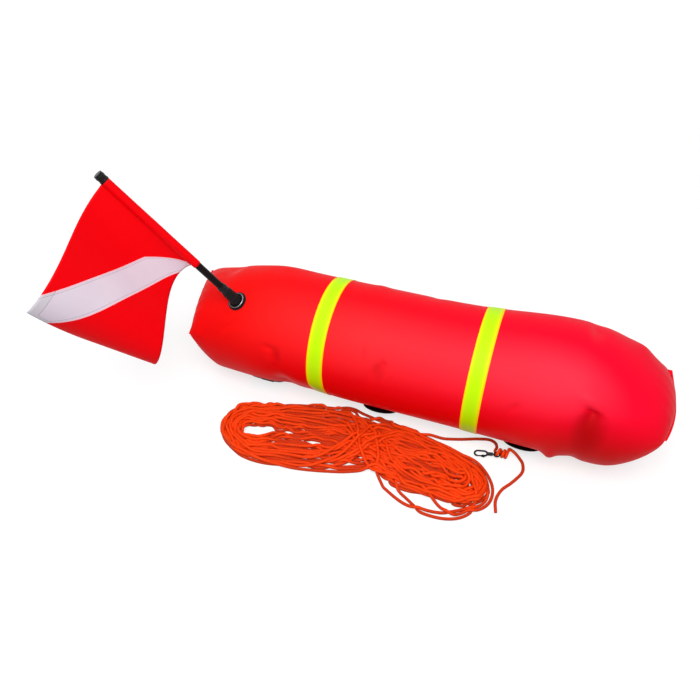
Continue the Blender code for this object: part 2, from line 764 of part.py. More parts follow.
def valve(finishes):
    """The oral valve: a welded flange with its barrel, a rubber check disc, and a knob that twists to open."""
    rubber, plastic = finishes
    place, _, _, normal = valve_frame()
    low, top = GAP, GAP + VALVE_FLANGE_THICKNESS
    x = VALVE_PLACE_SHARE * FLOAT_LENGTH
    profile = [(VALVE_BORE_RADIUS, low), (VALVE_FLANGE_RADIUS, low), (VALVE_FLANGE_RADIUS, top)]
    profile += [(VALVE_BORE_RADIUS, top)]
    bent_disc("valve_flange", x, 0.0, profile, rubber, count=28, closed=True)
    seat = top + GAP
    roof = seat + VALVE_BODY_HEIGHT
    wall = VALVE_BODY_RADIUS - VALVE_BORE_RADIUS
    profile = [(VALVE_BORE_RADIUS - wall / 2, seat), (VALVE_BODY_RADIUS, seat), (VALVE_BODY_RADIUS, roof)]
    profile += [(VALVE_BORE_RADIUS, roof), (VALVE_BORE_RADIUS, seat + wall), (VALVE_BORE_RADIUS - wall / 2, seat + wall)]
    turned("valve_barrel", profile, place, normal, plastic, closed=True)
    shelf = seat + wall + GAP
    disc = VALVE_BORE_RADIUS - GAP
    profile = [(disc, shelf), (disc, shelf + VALVE_DISC_THICKNESS)]
    turned("valve_check_disc", profile, place, normal, rubber)
    skirt = VALVE_BODY_RADIUS + GAP
    cover = roof + GAP
    rise = cover + VALVE_KNOB_HEIGHT / 3
    foot = rise - VALVE_KNOB_HEIGHT
    profile = [(VALVE_MOUTH_RADIUS, cover), (skirt, cover), (skirt, foot), (VALVE_KNOB_RADIUS, foot)]
    profile += [(VALVE_KNOB_RADIUS, rise - VALVE_KNOB_RIB), (VALVE_KNOB_RADIUS - VALVE_KNOB_RIB, rise)]
    spout = VALVE_MOUTH_RADIUS * 2.4
    profile += [(spout, rise), (spout, rise + VALVE_KNOB_HEIGHT), (VALVE_MOUTH_RADIUS, rise + VALVE_KNOB_HEIGHT)]
    knob = turned("valve_knob", profile, place, normal, plastic, count=36, closed=True, origin=place)
    first, second, _ = frame_along(normal)
    for vert in knob.data.vertices:
        across = vert.co - normal * vert.co.dot(normal)
        if across.length > VALVE_KNOB_RADIUS - 1.5 * VALVE_KNOB_RIB:
            turn = math.atan2(across.dot(second), across.dot(first))
            notch = VALVE_KNOB_RIB * (0.5 - 0.5 * math.cos(12 * turn))
            vert.co -= across.normalized() * notch


def spine_y(x):
    """The hank's middle line, eased between the places of its spine."""
    for (x0, y0), (x1, y1) in zip(HANK_SPINE, HANK_SPINE[1:]):
        if x <= x1:
            return y0 + (y1 - y0) * ease((x - x0) / (x1 - x0))
    return HANK_SPINE[-1][1]


def hank_point(phase, offset, z):
    """A point of a loop: phase 0 to 1 runs along the far side, round the right end, back and round the left."""
    outer = HANK_EYE_RADIUS + LOOPS_PER_LAYER * STRAND_PITCH + ROPE_RADIUS
    left, right = HANK_LEFT + outer, HANK_RIGHT - outer
    run, bend = 0.5 - HANK_END_TURN, HANK_END_TURN
    phase = phase % 1.0
    side = 1 if phase < 0.5 else -1
    part = phase % 0.5
    if part < run:
        x = left + (right - left) * part / run if side > 0 else right - (right - left) * part / run
        near = ease(1 - abs(x - HANK_WAIST_PLACE) / HANK_WAIST_REACH)
        return Vector((x, spine_y(x) + side * (offset - HANK_WAIST * near), z))
    turn = math.pi * (part - run) / bend
    end = right if side > 0 else left
    return Vector((end + side * offset * math.sin(turn), spine_y(end) + side * offset * math.cos(turn), z))


def loop_phases():
    """The phases of one loop's points: few along its runs, more round its ends."""
    run, bend = 0.5 - HANK_END_TURN, HANK_END_TURN
    on_run, on_bend = 5, LOOP_POINTS // 2 - 5
    half = [run * k / on_run for k in range(on_run)] + [run + bend * k / on_bend for k in range(on_bend)]
    return half + [0.5 + p for p in half]


def hank_route():
    """In from the outside in the lower layer, up a layer where the spiral turns back, and out again."""
    turns = 2 * LOOPS_PER_LAYER
    phases = loop_phases()
    start = 0.5
    stop = turns + HANK_EXIT_TURN
    places = [whole + p for whole in range(turns + 2) for p in phases]
    places = [p for p in places if start <= p <= stop - 0.01] + [stop]
    middle = (start + stop) / 2
    points = []
    for p in places:
        loops_in = abs(p - middle)
        offset = HANK_EYE_RADIUS + STRAND_PITCH * loops_in
        climb = min(max((p - middle + 0.25) / 0.5, 0.0), 1.0)
        place = hank_point(p, offset, ROPE_RADIUS + LAYER_STEP * climb)
        if p < 0.5 + (0.5 - HANK_END_TURN):
            loose = (p - 0.5) / (0.5 - HANK_END_TURN)
            place.y -= HANK_LOOSE_SAG * math.sin(math.pi * loose) ** 2
        points.append(place)
    return points


def least_gap(points):
    """The smallest clear distance between stretches of the rope that aren't neighbours."""
    mids = [(p + q) / 2 for p, q in zip(points, points[1:])]
    spots = [s for pair in zip(points, mids) for s in pair] + [points[-1]]
    least = 1.0
    skip = 2 * (LOOP_POINTS // 2 - 2)
    for i, p in enumerate(spots):
        for q in spots[i + skip :]:
            if abs(p.x - q.x) < 2 * ROPE_DIAMETER and abs(p.y - q.y) < 2 * ROPE_DIAMETER:
                least = min(least, (p - q).length)
    return least - ROPE_DIAMETER


def knot_point(turns):
    """The knot's rope: one open turn through the hook's eye, then two close ones, from its lowest point."""
    angle = TURN * turns
    x = KNOT_PLACE[0] + KNOT_FIRST_STEP * min(turns, 1.0) + STRAND_PITCH * max(turns - 1.0, 0.0)
    y = KNOT_PLACE[1] - KNOT_RADIUS * math.sin(angle)
    return Vector((x, y, LIFT + ROPE_RADIUS + KNOT_RADIUS * (1 - math.cos(angle))))


def floating_line(finish):
    """The hank, the stretch from it to the knot, the knot, and the tail that ends in a melted tip."""
    hank = hank_route()
    rope("line_hank", hank, finish, 1)
    length = sum((q - p).length for p, q in zip(hank, hank[1:]))
    print(f"hank: {length:.2f} m of rope, least gap to itself {least_gap(hank) * 1000:.2f} mm")
    spacing = 2.5 * ROPE_DIAMETER
    rest = ROPE_RADIUS + LIFT
    heading = (hank[-1] - hank[-2]).normalized()
    start = hank[-1] + heading * GAP
    arrive = Vector((KNOT_FIRST_STEP, -TURN * KNOT_RADIUS, 0)).normalized()
    knot = [knot_point(0) - arrive * ROPE_RADIUS] + [knot_point(2.5 * k / 32) for k in range(33)]
    end = knot[0] - arrive * GAP
    route = [start, start + heading * ROPE_DIAMETER * 2, *LEAD_ROUTE, end - arrive * ROPE_DIAMETER, end]
    lead = smooth_route(route, spacing, rest)
    lead[1] = start + heading * ROPE_DIAMETER
    lead[-2] = end - arrive * ROPE_DIAMETER
    rope("line_lead", lead, finish, 2)
    rope("line_knot", knot, finish, 2)
    leave = (knot[-1] - knot[-2]).normalized()
    start = knot[-1] + leave * GAP
    tail = smooth_route([start, start + leave * ROPE_DIAMETER, *TAIL_ROUTE], spacing, rest)
    tail[1] = start + leave * ROPE_DIAMETER
    rope("line_tail", tail, finish, 2)
    loose = sum((q - p).length for path in (lead, knot, tail) for p, q in zip(path, path[1:]))
    print(f"loose stretches and knot: {loose:.2f} m of rope")


def eye_place():
    """The middle of the hook's eye: round the rope where the knot's first turn climbs."""
    return knot_point(0.25)


def tongue(name, centre, toward, up, radius, reach, low, high, finish):
    """A plate round the centre that runs on toward one side, between two heights along up."""
    side = up.cross(toward)
    plate = []
    for height in (low, high):
        ring = [
            centre + toward * (radius * math.cos(t)) + side * (radius * math.sin(t)) + up * height
            for t in [math.radians(90 + 180 * k / 8) for k in range(9)]
        ]
        ring += [centre + toward * reach + side * (share * radius) + up * height for share in (-0.5, 0.5)]
        plate.append(ring)
    return loft(name, plate, finish)


def snap_hook(black, steel):
    """A small swivel snap: the eye and its stem, the hook, and a spring gate on its pin."""
    centre = eye_place()
    lean = Vector(HOOK_LEAN).normalized()
    up, side, _ = frame_along(lean)
    barrel = EYE_RADIUS + EYE_WIRE + GAP * 2
    rings = []
    for k in range(20):
        angle = TURN * k / 20
        out = lean * math.cos(angle) + side * math.sin(angle)
        rings.append(circle(centre + out * EYE_RADIUS, out, up, EYE_WIRE, 8))
    eye = loft("hook_eye", rings, black, closed=True, origin=centre)
    head = barrel + BARREL_LENGTH + GAP
    stem = [(SWIVEL_STEM_RADIUS, EYE_RADIUS), (SWIVEL_STEM_RADIUS, head)]
    stem += [(SWIVEL_STEM_RADIUS * 1.7, head), (SWIVEL_STEM_RADIUS * 1.7, head + SWIVEL_STEM_RADIUS)]
    eye = combine(eye, turned("stem", stem, centre, lean, black, count=12), "UNION")

    first = head + SWIVEL_STEM_RADIUS + GAP + HOOK_WIRE
    half = HOOK_WIDTH / 2 - HOOK_WIRE
    low, high = first + half, first + HOOK_LENGTH - HOOK_WIRE - half
    path = [(high - GAP, -half)]
    path += [(high + half * math.sin(t), -half * math.cos(t)) for t in [math.pi * k / 8 for k in range(9)]]
    path += [((low + high) / 2, half)]
    path += [(low - half * math.sin(t), half * math.cos(t)) for t in [math.pi * k / 8 for k in range(8)]]
    points = [centre + lean * a + side * b for a, b in path]
    rings = []
    for k, here in enumerate(points):
        ahead = points[min(k + 1, len(points) - 1)] - points[max(k - 1, 0)]
        out = ahead.normalized().cross(up)
        rings.append(circle(here, out, up, HOOK_WIRE, 8, TURN / 16))
    body = loft("hook_body", rings, black, origin=centre)
    inner, outer = SWIVEL_STEM_RADIUS + GAP, BARREL_RADIUS
    room = SWIVEL_STEM_RADIUS * 1.7 + GAP
    end = head + SWIVEL_STEM_RADIUS + GAP
    profile = [(inner, barrel), (outer, barrel), (outer, end + HOOK_WIRE), (room / 2, end + HOOK_WIRE)]
    profile += [(room / 2, end), (room, end), (room, head - GAP), (inner, head - GAP)]
    body = combine(body, turned("barrel", profile, centre, lean, black, count=16, closed=True), "UNION")

    pivot = centre + lean * low - side * half
    ear = HOOK_WIRE * 1.15
    lug = GATE_LUG / 2
    bore = GATE_PIN_RADIUS + GAP
    deep = HOOK_WIRE + OVERRUN
    slot = ear + GAP
    body = combine(body, turned("slot_cutter", [(slot, -deep), (slot, deep)], pivot, up, black, count=20), "DIFFERENCE")
    toward = (points[-1] - pivot).normalized()
    body = combine(body, tongue("lug", pivot, toward, up, ear, slot + HOOK_WIRE / 2, -lug, lug, black), "UNION")
    body = combine(body, turned("pin_cutter", [(bore, -deep), (bore, deep)], pivot, up, black, count=12), "DIFFERENCE")

    wire = [(GATE_WIRE, slot), (GATE_WIRE, high - GAP * 2 - low)]
    gate = turned("hook_gate", wire, pivot, lean, black, count=12, origin=pivot)
    near, far = lug + GAP, lug + GATE_EAR
    for start, stop in ((near, far), (-far, -near)):
        gate = combine(gate, tongue("ear", pivot, lean, up, ear, slot + ear, start, stop, black), "UNION")
    gate = combine(gate, turned("pin_cutter", [(bore, -deep), (bore, deep)], pivot, up, black, count=12), "DIFFERENCE")
    pin = GATE_PIN_RADIUS
    turned("hook_gate_pin", [(pin, -far), (pin, far)], pivot, up, steel, count=12, origin=centre)
    print(f"gate pivot {[round(v, 5) for v in pivot]}, axis {[round(v, 4) for v in up]}")
    print(f"hook eye {[round(v, 5) for v in centre]}, swivel axis {[round(v, 4) for v in lean]}")


def build():
    clear_scene()
    red = material("coated_fabric", RED, 0.42)
    tape = material("reflective_tape", (0.62, 0.88, 0.0), 0.35)
    webbing = material("black_webbing", BLACK, 0.8)
    plastic = material("black_plastic", BLACK, 0.38)
    rubber = material("black_rubber", (0.02, 0.02, 0.02), 0.6)
    metal = material("bright_metal", (0.7, 0.7, 0.72), 0.25, 1.0)
    flag_red = material("flag_cloth", (0.80, 0.0, 0.006), 0.55)
    flag_white = material("flag_stripe", (0.75, 0.66, 0.76), 0.55)
    line = material("floating_line", ORANGE, 0.55)

    float_skin(red)
    for side, x in (("left", -BAND_SPACING / 2), ("right", BAND_SPACING / 2)):
        tape_band(f"tape_band_{side}", x, tape)
    for number, (share, flare) in enumerate(zip(ANCHOR_PLACE_SHARES, PATCH_FLARE_SHARES), 1):
        x = share * FLOAT_LENGTH
        anchor_patch(f"anchor_patch_{number}", x, flare, rubber)
        anchor_webbing(f"anchor_webbing_{number}", x, flare, webbing)
        d_ring(f"d_ring_{number}", x, flare, plastic)
    socket_flange(rubber)
    clamp_ring(metal)
    socket_boot(rubber)
    flag_pole(plastic)
    pole_ferrule(plastic)
    pole_cap(plastic)
    flag_pieces(flag_red, flag_white)
    valve((rubber, plastic))
    floating_line(line)
    snap_hook(plastic, metal)


build()
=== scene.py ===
"""Inflatable float with a dive flag on a pale floor, beside its hank of floating line."""

import math

import bpy
import numpy as np
from mathutils import Matrix, Vector, kdtree


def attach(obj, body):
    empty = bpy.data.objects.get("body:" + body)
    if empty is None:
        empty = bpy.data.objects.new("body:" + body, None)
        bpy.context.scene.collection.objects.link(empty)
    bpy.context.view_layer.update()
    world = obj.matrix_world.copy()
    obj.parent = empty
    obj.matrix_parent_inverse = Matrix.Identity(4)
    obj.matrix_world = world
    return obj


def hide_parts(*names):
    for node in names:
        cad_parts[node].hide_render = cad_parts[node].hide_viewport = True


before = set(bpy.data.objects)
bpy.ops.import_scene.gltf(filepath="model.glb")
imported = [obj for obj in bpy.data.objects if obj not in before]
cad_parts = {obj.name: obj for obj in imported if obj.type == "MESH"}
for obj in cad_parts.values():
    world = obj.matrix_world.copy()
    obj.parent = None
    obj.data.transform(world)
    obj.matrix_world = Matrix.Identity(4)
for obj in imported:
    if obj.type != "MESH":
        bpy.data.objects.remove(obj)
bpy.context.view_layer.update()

TURN = 2 * math.pi

# Camera, from the photograph
VIEW_TURN = math.radians(19.6)
VIEW_FALL = math.radians(41.7)
VIEW_DISTANCE = 1.32845
VIEW_CENTRE = (-0.1115, 0.0, 0.08393)
VIEW_LENS = 36.0
VIEW_SENSOR = 36.0
VIEW_NEAREST = 0.05

# Line, repeated from the CAD model
ROPE_DIAMETER = 0.0055
STRAND_PITCH = 0.0061
LOOPS_PER_LAYER = 12
HANK_END_TURN = 0.14
HANK_EXIT_TURN = 0.275
HANK_EXIT = (0.0452, -0.0929, 0.00885)
HANK_EXIT_HEADING = (0.9973, -0.0740, 0.0)
HANK_LENGTH = 22.38
HANK_STRAND_GAP = 0.0056
HANK_DROP = 0.00035
KNOT_PLACE = (0.1945, -0.0890)
KNOT_RADIUS = 0.0059
KNOT_FIRST_STEP = 0.0106
KNOT_TURNS = 2.5
KNOT_STEPS = 60
LIFT = 0.0001
GAP = 0.0003
LEAD_ROUTE = (
    (0.075, -0.0885, 0.0074),
    (0.100, -0.0850, 0.0030),
    (0.128, -0.0765, 0.0028),
    (0.155, -0.0660, 0.0028),
    (0.177, -0.0600, 0.0028),
    (0.1895, -0.0640, 0.0028),
    (0.1940, -0.0740, 0.0028),
)
TAIL_ROUTE = (
    (0.2165, -0.0790, 0.0130),
    (0.2255, -0.0795, 0.0085),
    (0.2360, -0.0855, 0.0036),
    (0.2440, -0.0970, 0.0028),
    (0.2455, -0.1160, 0.0028),
    (0.2330, -0.1420, 0.0028),
    (0.2190, -0.1640, 0.0028),
    (0.2135, -0.1880, 0.0028),
    (0.2180, -0.2120, 0.0028),
)
ROPE_RADIUS = ROPE_DIAMETER / 2
LEAD_STEP = 0.004
TAIL_STEP = 0.0025
LINE_SIDES = 10
LINE_END_SIDES = 12

# The settled hank's outline on the floor: place along X, near side of the turns that hang out, near side of
# the bunch, far side
HANK_OUTLINE = (
    (-0.299, -0.186, -0.186, -0.155),
    (-0.284, -0.214, -0.214, -0.136),
    (-0.268, -0.228, -0.226, -0.127),
    (-0.232, -0.249, -0.247, -0.114),
    (-0.216, -0.253, -0.250, -0.107),
    (-0.179, -0.250, -0.248, -0.093),
    (-0.137, -0.244, -0.243, -0.082),
    (-0.098, -0.237, -0.235, -0.076),
    (-0.051, -0.222, -0.222, -0.075),
    (-0.012, -0.205, -0.205, -0.076),
    (0.013, -0.208, -0.203, -0.080),
    (0.031, -0.238, -0.216, -0.085),
    (0.060, -0.250, -0.222, -0.088),
    (0.087, -0.254, -0.222, -0.094),
    (0.120, -0.260, -0.219, -0.105),
    (0.141, -0.261, -0.221, -0.113),
    (0.164, -0.257, -0.224, -0.116),
    (0.182, -0.240, -0.224, -0.117),
    (0.196, -0.218, -0.218, -0.121),
    (0.2115, -0.190, -0.190, -0.146),
)
# Turns that cross over at its waist, and turns that hang out of it, with their way over the floor
HANK_CROSSED_TURNS = (4, 8, 13, 16, 18, 19, 20, 22)
HANK_HANGING_TURNS = (
    (20, (
        (0.014, -0.203), (0.036, -0.238), (0.051, -0.247), (0.101, -0.252), (0.145, -0.239), (0.183, -0.222),
    )),
    (19, (
        (0.054, -0.200), (0.086, -0.2485), (0.110, -0.2575),
        (0.151, -0.2555), (0.180, -0.237), (0.187, -0.225),
    )),
    (22, ((0.102, -0.199), (0.134, -0.236), (0.142, -0.2405), (0.160, -0.236), (0.183, -0.222))),
)
# One turn bows out toward the float
HANK_BOW_TURN = 23
HANK_BOW_PLACE = -0.082
HANK_BOW = 0.011
HANK_BOW_WIDTH = 0.018
# Openings between its strands: middle, half length and half width
HANK_GAPS = (
    (-0.2289, -0.1864, 0.0273, 0.0157),
    (-0.2124, -0.1702, 0.0156, 0.0061),
    (-0.1770, -0.1667, 0.0064, 0.0044),
    (-0.1280, -0.1350, 0.0060, 0.0030),
    (-0.1204, -0.1732, 0.0144, 0.0054),
    (0.0344, -0.2190, 0.0070, 0.0055),
)

# The hank before it settles: its samples, its two ends and how far they stray, and its bowed turn
HUNG_SEED = 11
HUNG_SAMPLES = 12000
HUNG_LEFT = -0.245
HUNG_RIGHT = 0.174
HUNG_RIGHT_STAGGER = 0.024
HUNG_BOW = 0.020
HUNG_BOW_WIDTH = 0.020
HUNG_RISE = 1.05

# How it settles: steps, the last ones without a drop, rounds in each, and how often close pairs are found
SETTLE_STEPS = 700
SETTLE_STILL_STEPS = 60
SETTLE_ROUNDS = 4
SETTLE_PAIRS_EVERY = 5
# Share of a step's sideways move that is kept, share of smoothing, and when the held end is down
SETTLE_KEPT_MOVE = 0.8
SETTLE_SMOOTHING = 0.04
SETTLE_LOWERED = 0.65
HELD_POINTS = 8
# How far strands are looked for, and what they are pushed by in one round
PAIR_REACH = ROPE_DIAMETER * 1.7
PAIR_STEPS = 3
STRAND_PUSH = 0.65
# Steps between two points and the radius of the tightest bend between them
BEND_LIMITS = ((2, 0.017), (4, 0.017), (8, 0.016))
OUTLINE_PULL = 0.3
OPENING_PUSH = 0.15
OPENING_PUSH_ALONG = 0.4

# Inflated tube, repeated from the CAD model
FLOAT_LEFT = -0.4212225
FLOAT_RIGHT = 0.4517775
FLOAT_RADIUS = 0.110
REST_DENT = 0.0006
BULGE = 0.008
BULGE_PLACE = 0.274995
BULGE_WIDTH = 0.12222
LEFT_END = {
    "upper_taper": 0.213, "upper_power": 2.2, "lower_taper": 0.063, "lower_power": 1.95,
    "side_taper": 0.150, "side_power": 1.25, "seam_half_width": 0.093, "seam_ear": 0.0125,
    "seam_skew": -0.2875, "seam_shift": -0.003, "seam_height": 0.1195,
    "seam_bow": 0.0, "ear_back": 0.005, "ear_lift": 0.0,
}
RIGHT_END = {
    "upper_taper": 0.158, "upper_power": 2.0, "lower_taper": 0.098, "lower_power": 1.8,
    "side_taper": 0.080, "side_power": 1.55, "seam_half_width": 0.0575, "seam_ear": 0.035,
    "seam_skew": 0.10, "seam_shift": -0.0163, "seam_height": 0.119,
    "seam_bow": 0.007, "ear_back": 0.019, "ear_lift": 0.022,
}
EAR_POWER = 6
CORNER_POWER = 8
CORNER_REACH = 1.6
WELD_REACH = 0.055
# The flat edge of a weld, from its rim inward: distance past the skin, and half of its thickness
WELD_RINGS = ((0.0030, 0.0002), (0.0028, 0.0007), (0.0008, 0.0008))
# Puckers at the left and right weld: reach, count round the tube, phase and depth
SKIN_PUCKERS = ((0.075, 11, 0.4, 0.0009), (0.085, 10, 1.3, 0.0006))
SKIN_AROUND = 168
SKIN_END_RINGS = 84
SKIN_MIDDLE_RINGS = 150
BAND_PLACES = (-0.140, 0.140)
BAND_WIDTH = 0.030
# Folds of the skin: place along X, angle in degrees, heading, length, width, depth, and if one end is abrupt
SKIN_FOLDS = (
    (-0.228, 163, 10, 0.012, 0.0050, -0.0040, False),
    (-0.2145, 172, 85, 0.013, 0.0050, -0.0045, False),
    (-0.2225, 176, 0, 0.008, 0.0070, 0.0025, False),
    (-0.210, 214, 90, 0.036, 0.0180, -0.0090, False),
    (-0.165, 216, 0, 0.040, 0.0300, -0.0050, False),
    (-0.318, 149, -35, 0.022, 0.0050, -0.0034, False),
    (-0.027, 159, 124, 0.024, 0.0060, -0.0052, True),
    (-0.057, 147, 90, 0.014, 0.0045, -0.0022, False),
    (0.208, 164, 130, 0.012, 0.0045, -0.0030, False),
    (0.324, 165, 100, 0.032, 0.0130, -0.0150, True),
    (0.320, 143, 5, 0.016, 0.0070, 0.0030, False),
    (0.281, 222, 90, 0.030, 0.0110, 0.0080, False),
    (0.318, 220, 90, 0.030, 0.0120, -0.0040, False),
    (0.312, 73, 90, 0.034, 0.0120, -0.0075, False),
    (0.392, 60, 90, 0.034, 0.0150, 0.0035, False),
    (-0.250, 62, 0, 0.045, 0.0200, 0.0030, False),
    (-0.352, 66, 90, 0.030, 0.0130, -0.0050, False),
    (-0.070, 55, 80, 0.030, 0.0120, 0.0015, False),
    (0.035, 52, 100, 0.030, 0.0120, -0.0012, False),
)
# Painted shade where the folds sink in, a deeper red: place, height, half length, half height, top, and share
SKIN_PAINTED_SHADES = (
    (0.328, 0.134, 0.032, 0.062, 0.173, 0.85),
    (0.345, 0.095, 0.100, 0.090, 0.172, 0.50),
    (-0.024, 0.152, 0.016, 0.026, 0.168, 0.30),
    (-0.214, 0.128, 0.014, 0.026, 0.200, 0.30),
)

# Tapes, each wrapped on the skin from a plain open cylinder
TAPE_BLANK_RADIUS = 0.125
TAPE_BLANK_HEIGHT = 0.11
TAPE_OPEN_HALF = math.radians(17)
TAPE_CUTS = (-0.8, -0.4, 0.0, 0.4, 0.8)
TAPE_LIFT = 0.0004
TAPE_THICKNESS = 0.0006

# Flag, repeated from the CAD model
SOCKET_PLACE = -0.309042
SOCKET_ELEVATION = math.radians(57.0)
POLE_LEAN = Vector((-0.514, -0.257, 0.818)).normalized()
POLE_RADIUS = 0.0064
HOIST_TOP = 0.3067
FLAG_HOIST = 0.203
FLAG_FLY = 0.254
FLAG_STRIPE_WIDTH = 0.047
FLAG_SLEEVE = 0.0135
FLAG_HEM = 0.014
FLAG_OVERLAP = 0.013
FLAG_THICKNESS = 0.0006
FLAG_REACH = POLE_RADIUS + GAP + 0.0004
FLAG_ROWS = 56
FLAG_COLUMNS = 84
FLAG_WRAP_COLUMNS = 18
FLAG_BACK_COLUMNS = 4
FLAG_STEPS = 24
# How the cloth droops and swings: a plain part, then along the fly, down the hoist, both, and two waves
FLAG_DROOP_DEGREES = (40, 3, -24, 25, 6, 39)
FLAG_SWING_DEGREES = (16, -25, -51, -29, 69, 62)

# Floor, surround and lamps. The floor's glow is seen but lights nothing, and it grows beyond the lamps' reach
FLOOR_SIZE = 16
FLOOR_GREY = (0.40, 0.40, 0.40)
FLOOR_NEAR = 0.8
FLOOR_FADE = 2.3
FLOOR_GLOW_NEAR = (0.66, 0.66, 0.66)
FLOOR_GLOW_FAR = (0.86, 0.86, 0.86)
SKY_LIGHT = 0.40
LIT_PLACE = (0, 0, 0.1)


class Socket:
    """A link in a material: the operators add the Math nodes that they name."""

    def __init__(self, tree, link):
        self.tree = tree
        self.link = link

    def _math(self, operation, first, second=None):
        made = self.tree.nodes.new("ShaderNodeMath")
        made.operation = operation
        for place, value in zip(made.inputs, (first, second)):
            if isinstance(value, Socket):
                self.tree.links.new(value.link, place)
            elif value is not None:
                place.default_value = value
        return Socket(self.tree, made.outputs[0])

    def __add__(self, other):
        return self._math("ADD", self, other)

    def __radd__(self, other):
        return self._math("ADD", other, self)

    def __sub__(self, other):
        return self._math("SUBTRACT", self, other)

    def __rsub__(self, other):
        return self._math("SUBTRACT", other, self)

    def __mul__(self, other):
        return self._math("MULTIPLY", self, other)

    def __rmul__(self, other):
        return self._math("MULTIPLY", other, self)

    def __truediv__(self, other):
        return self._math("DIVIDE", self, other)

    def __pow__(self, other):
        return self._math("POWER", self, other)

    def wave(self):
        return self._math("SINE", self)

    def size(self):
        return self._math("ABSOLUTE", self)

    def less(self, other):
        return self._math("LESS_THAN", self, other)

    def more(self, other):
        return self._math("GREATER_THAN", self, other)

    def lowest(self, other):
        return self._math("MINIMUM", self, other)

    def highest(self, other):
        return self._math("MAXIMUM", self, other)

    def held(self):
        """The value kept between 0 and 1."""
        return self.highest(0.0).lowest(1.0)


class Finish:
    """A material with its Principled shader, and one method for any other node."""

    def __init__(self, name, roughness=0.5, metallic=0.0, **fixed):
        self.made = bpy.data.materials.new(name)
        self.made.use_nodes = True
        self.tree = self.made.node_tree
        self.shader = self.tree.nodes["Principled BSDF"]
        self.shader.inputs["Roughness"].default_value = roughness
        self.shader.inputs["Metallic"].default_value = metallic
        for socket, value in fixed.items():
            self.shader.inputs[socket.replace("_", " ")].default_value = value

    def node(self, kind, settings=None, inputs=None, output=0):
        made = self.tree.nodes.new("ShaderNode" + kind)
        for key, value in (settings or {}).items():
            setattr(made, key, value)
        for key, value in (inputs or {}).items():
            place = made.inputs[key]
            if isinstance(value, Socket):
                self.tree.links.new(value.link, place)
            else:
                place.default_value = value
        return Socket(self.tree, made.outputs[output])

    def place(self):
        return self.node("TexCoord", output="Object")

    def along(self, source=None):
        """The three numbers of a point."""
        parts = self.tree.nodes.new("ShaderNodeSeparateXYZ")
        self.tree.links.new((source or self.place()).link, parts.inputs[0])
        return [Socket(self.tree, out) for out in parts.outputs]

    def cloud(self, scale, detail=2.0):
        """A soft pattern that varies over the surface, about 0.5 in the middle."""
        return self.node("TexNoise", None, {"Vector": self.place(), "Scale": scale, "Detail": detail})

    def mix(self, share, first, second):
        """The first colour where the share is 0, and the second where it is 1."""
        first, second = (c if isinstance(c, Socket) else (*c, 1.0) for c in (first, second))
        return self.node("Mix", {"data_type": "RGBA"}, {0: share, 6: first, 7: second}, 2)

    def set(self, socket, value):
        self.tree.links.new(value.link, self.shader.inputs[socket])

    def bump(self, height, distance, strength=1.0, under=None):
        inputs = {"Height": height, "Distance": distance, "Strength": strength}
        if under is not None:
            inputs["Normal"] = under
        return self.node("Bump", None, inputs)


def linear(*colour):
    """A screen colour of 0 to 255 as the shader's numbers."""
    return tuple(((c / 255 + 0.055) / 1.055) ** 2.4 if c > 10 else c / 255 / 12.92 for c in colour)


def clear_selection():
    if bpy.context.mode != "OBJECT":
        bpy.ops.object.mode_set(mode="OBJECT")
    bpy.ops.object.select_all(action="DESELECT")


def new_mesh(name, points, faces, uv=None):
    mesh = bpy.data.meshes.new(name)
    mesh.from_pydata([tuple(p) for p in points], [], faces)
    if uv is not None:
        layer = mesh.uv_layers.new(name="UVMap")
        flat = [u for face in uv for corner in face for u in corner]
        layer.data.foreach_set("uv", flat)
    mesh.update()
    made = bpy.data.objects.new(name, mesh)
    bpy.context.scene.collection.objects.link(made)
    mesh.shade_smooth()
    return made


def add_camera():
    data = bpy.data.cameras.new("photo_camera")
    data.lens = VIEW_LENS
    data.sensor_width = VIEW_SENSOR
    data.clip_start = VIEW_NEAREST
    camera = bpy.data.objects.new("photo_camera", data)
    bpy.context.scene.collection.objects.link(camera)
    right = Vector((math.cos(VIEW_TURN), math.sin(VIEW_TURN), 0))
    level = math.cos(VIEW_FALL)
    back = Vector((math.sin(VIEW_TURN) * level, -math.cos(VIEW_TURN) * level, math.sin(VIEW_FALL)))
    up = back.cross(right)
    place = Vector(VIEW_CENTRE) + back * VIEW_DISTANCE
    camera.matrix_world = Matrix.Translation(place) @ Matrix((right, up, back)).transposed().to_4x4()
    bpy.context.scene.camera = camera


def smooth_route(points, spacing, lowest):
    """A smooth curve through the points, read at even steps and kept above a height."""
    knots = [Vector(p) for p in points]
    knots = [knots[0] * 2 - knots[1], *knots, knots[-1] * 2 - knots[-2]]
    fine = []
    for k in range(1, len(knots) - 2):
        a, b, c, d = knots[k - 1 : k + 3]
        for t in [i / 20 for i in range(20)]:
            spot = 0.5 * (
                2 * b + (c - a) * t + (2 * a - 5 * b + 4 * c - d) * t * t + (3 * b - a - 3 * c + d) * t**3
            )
            spot.z = max(spot.z, lowest)
            fine.append(spot)
    fine.append(knots[-2])
    total = path_length(fine)
    count = max(2, round(total / spacing))
    found, walked, target = [fine[0]], 0.0, total / count
    for p, q in zip(fine, fine[1:]):
        step = (q - p).length
        while walked + step >= target - 1e-9 and len(found) < count:
            found.append(p.lerp(q, (target - walked) / step))
            target += total / count
        walked += step
    return [*found, fine[-1]]


def finer(points):
    """The points of a line with one more between each two, on a smooth curve."""
    ends = [points[0] * 2 - points[1], *points, points[-1] * 2 - points[-2]]
    found = []
    for a, b, c, d in zip(ends, ends[1:], ends[2:], ends[3:]):
        found += [b, (b + c) * 0.5625 - (a + d) * 0.0625]
    return [*found, points[-1]]


def path_length(points):
    return sum((q - p).length for p, q in zip(points, points[1:]))


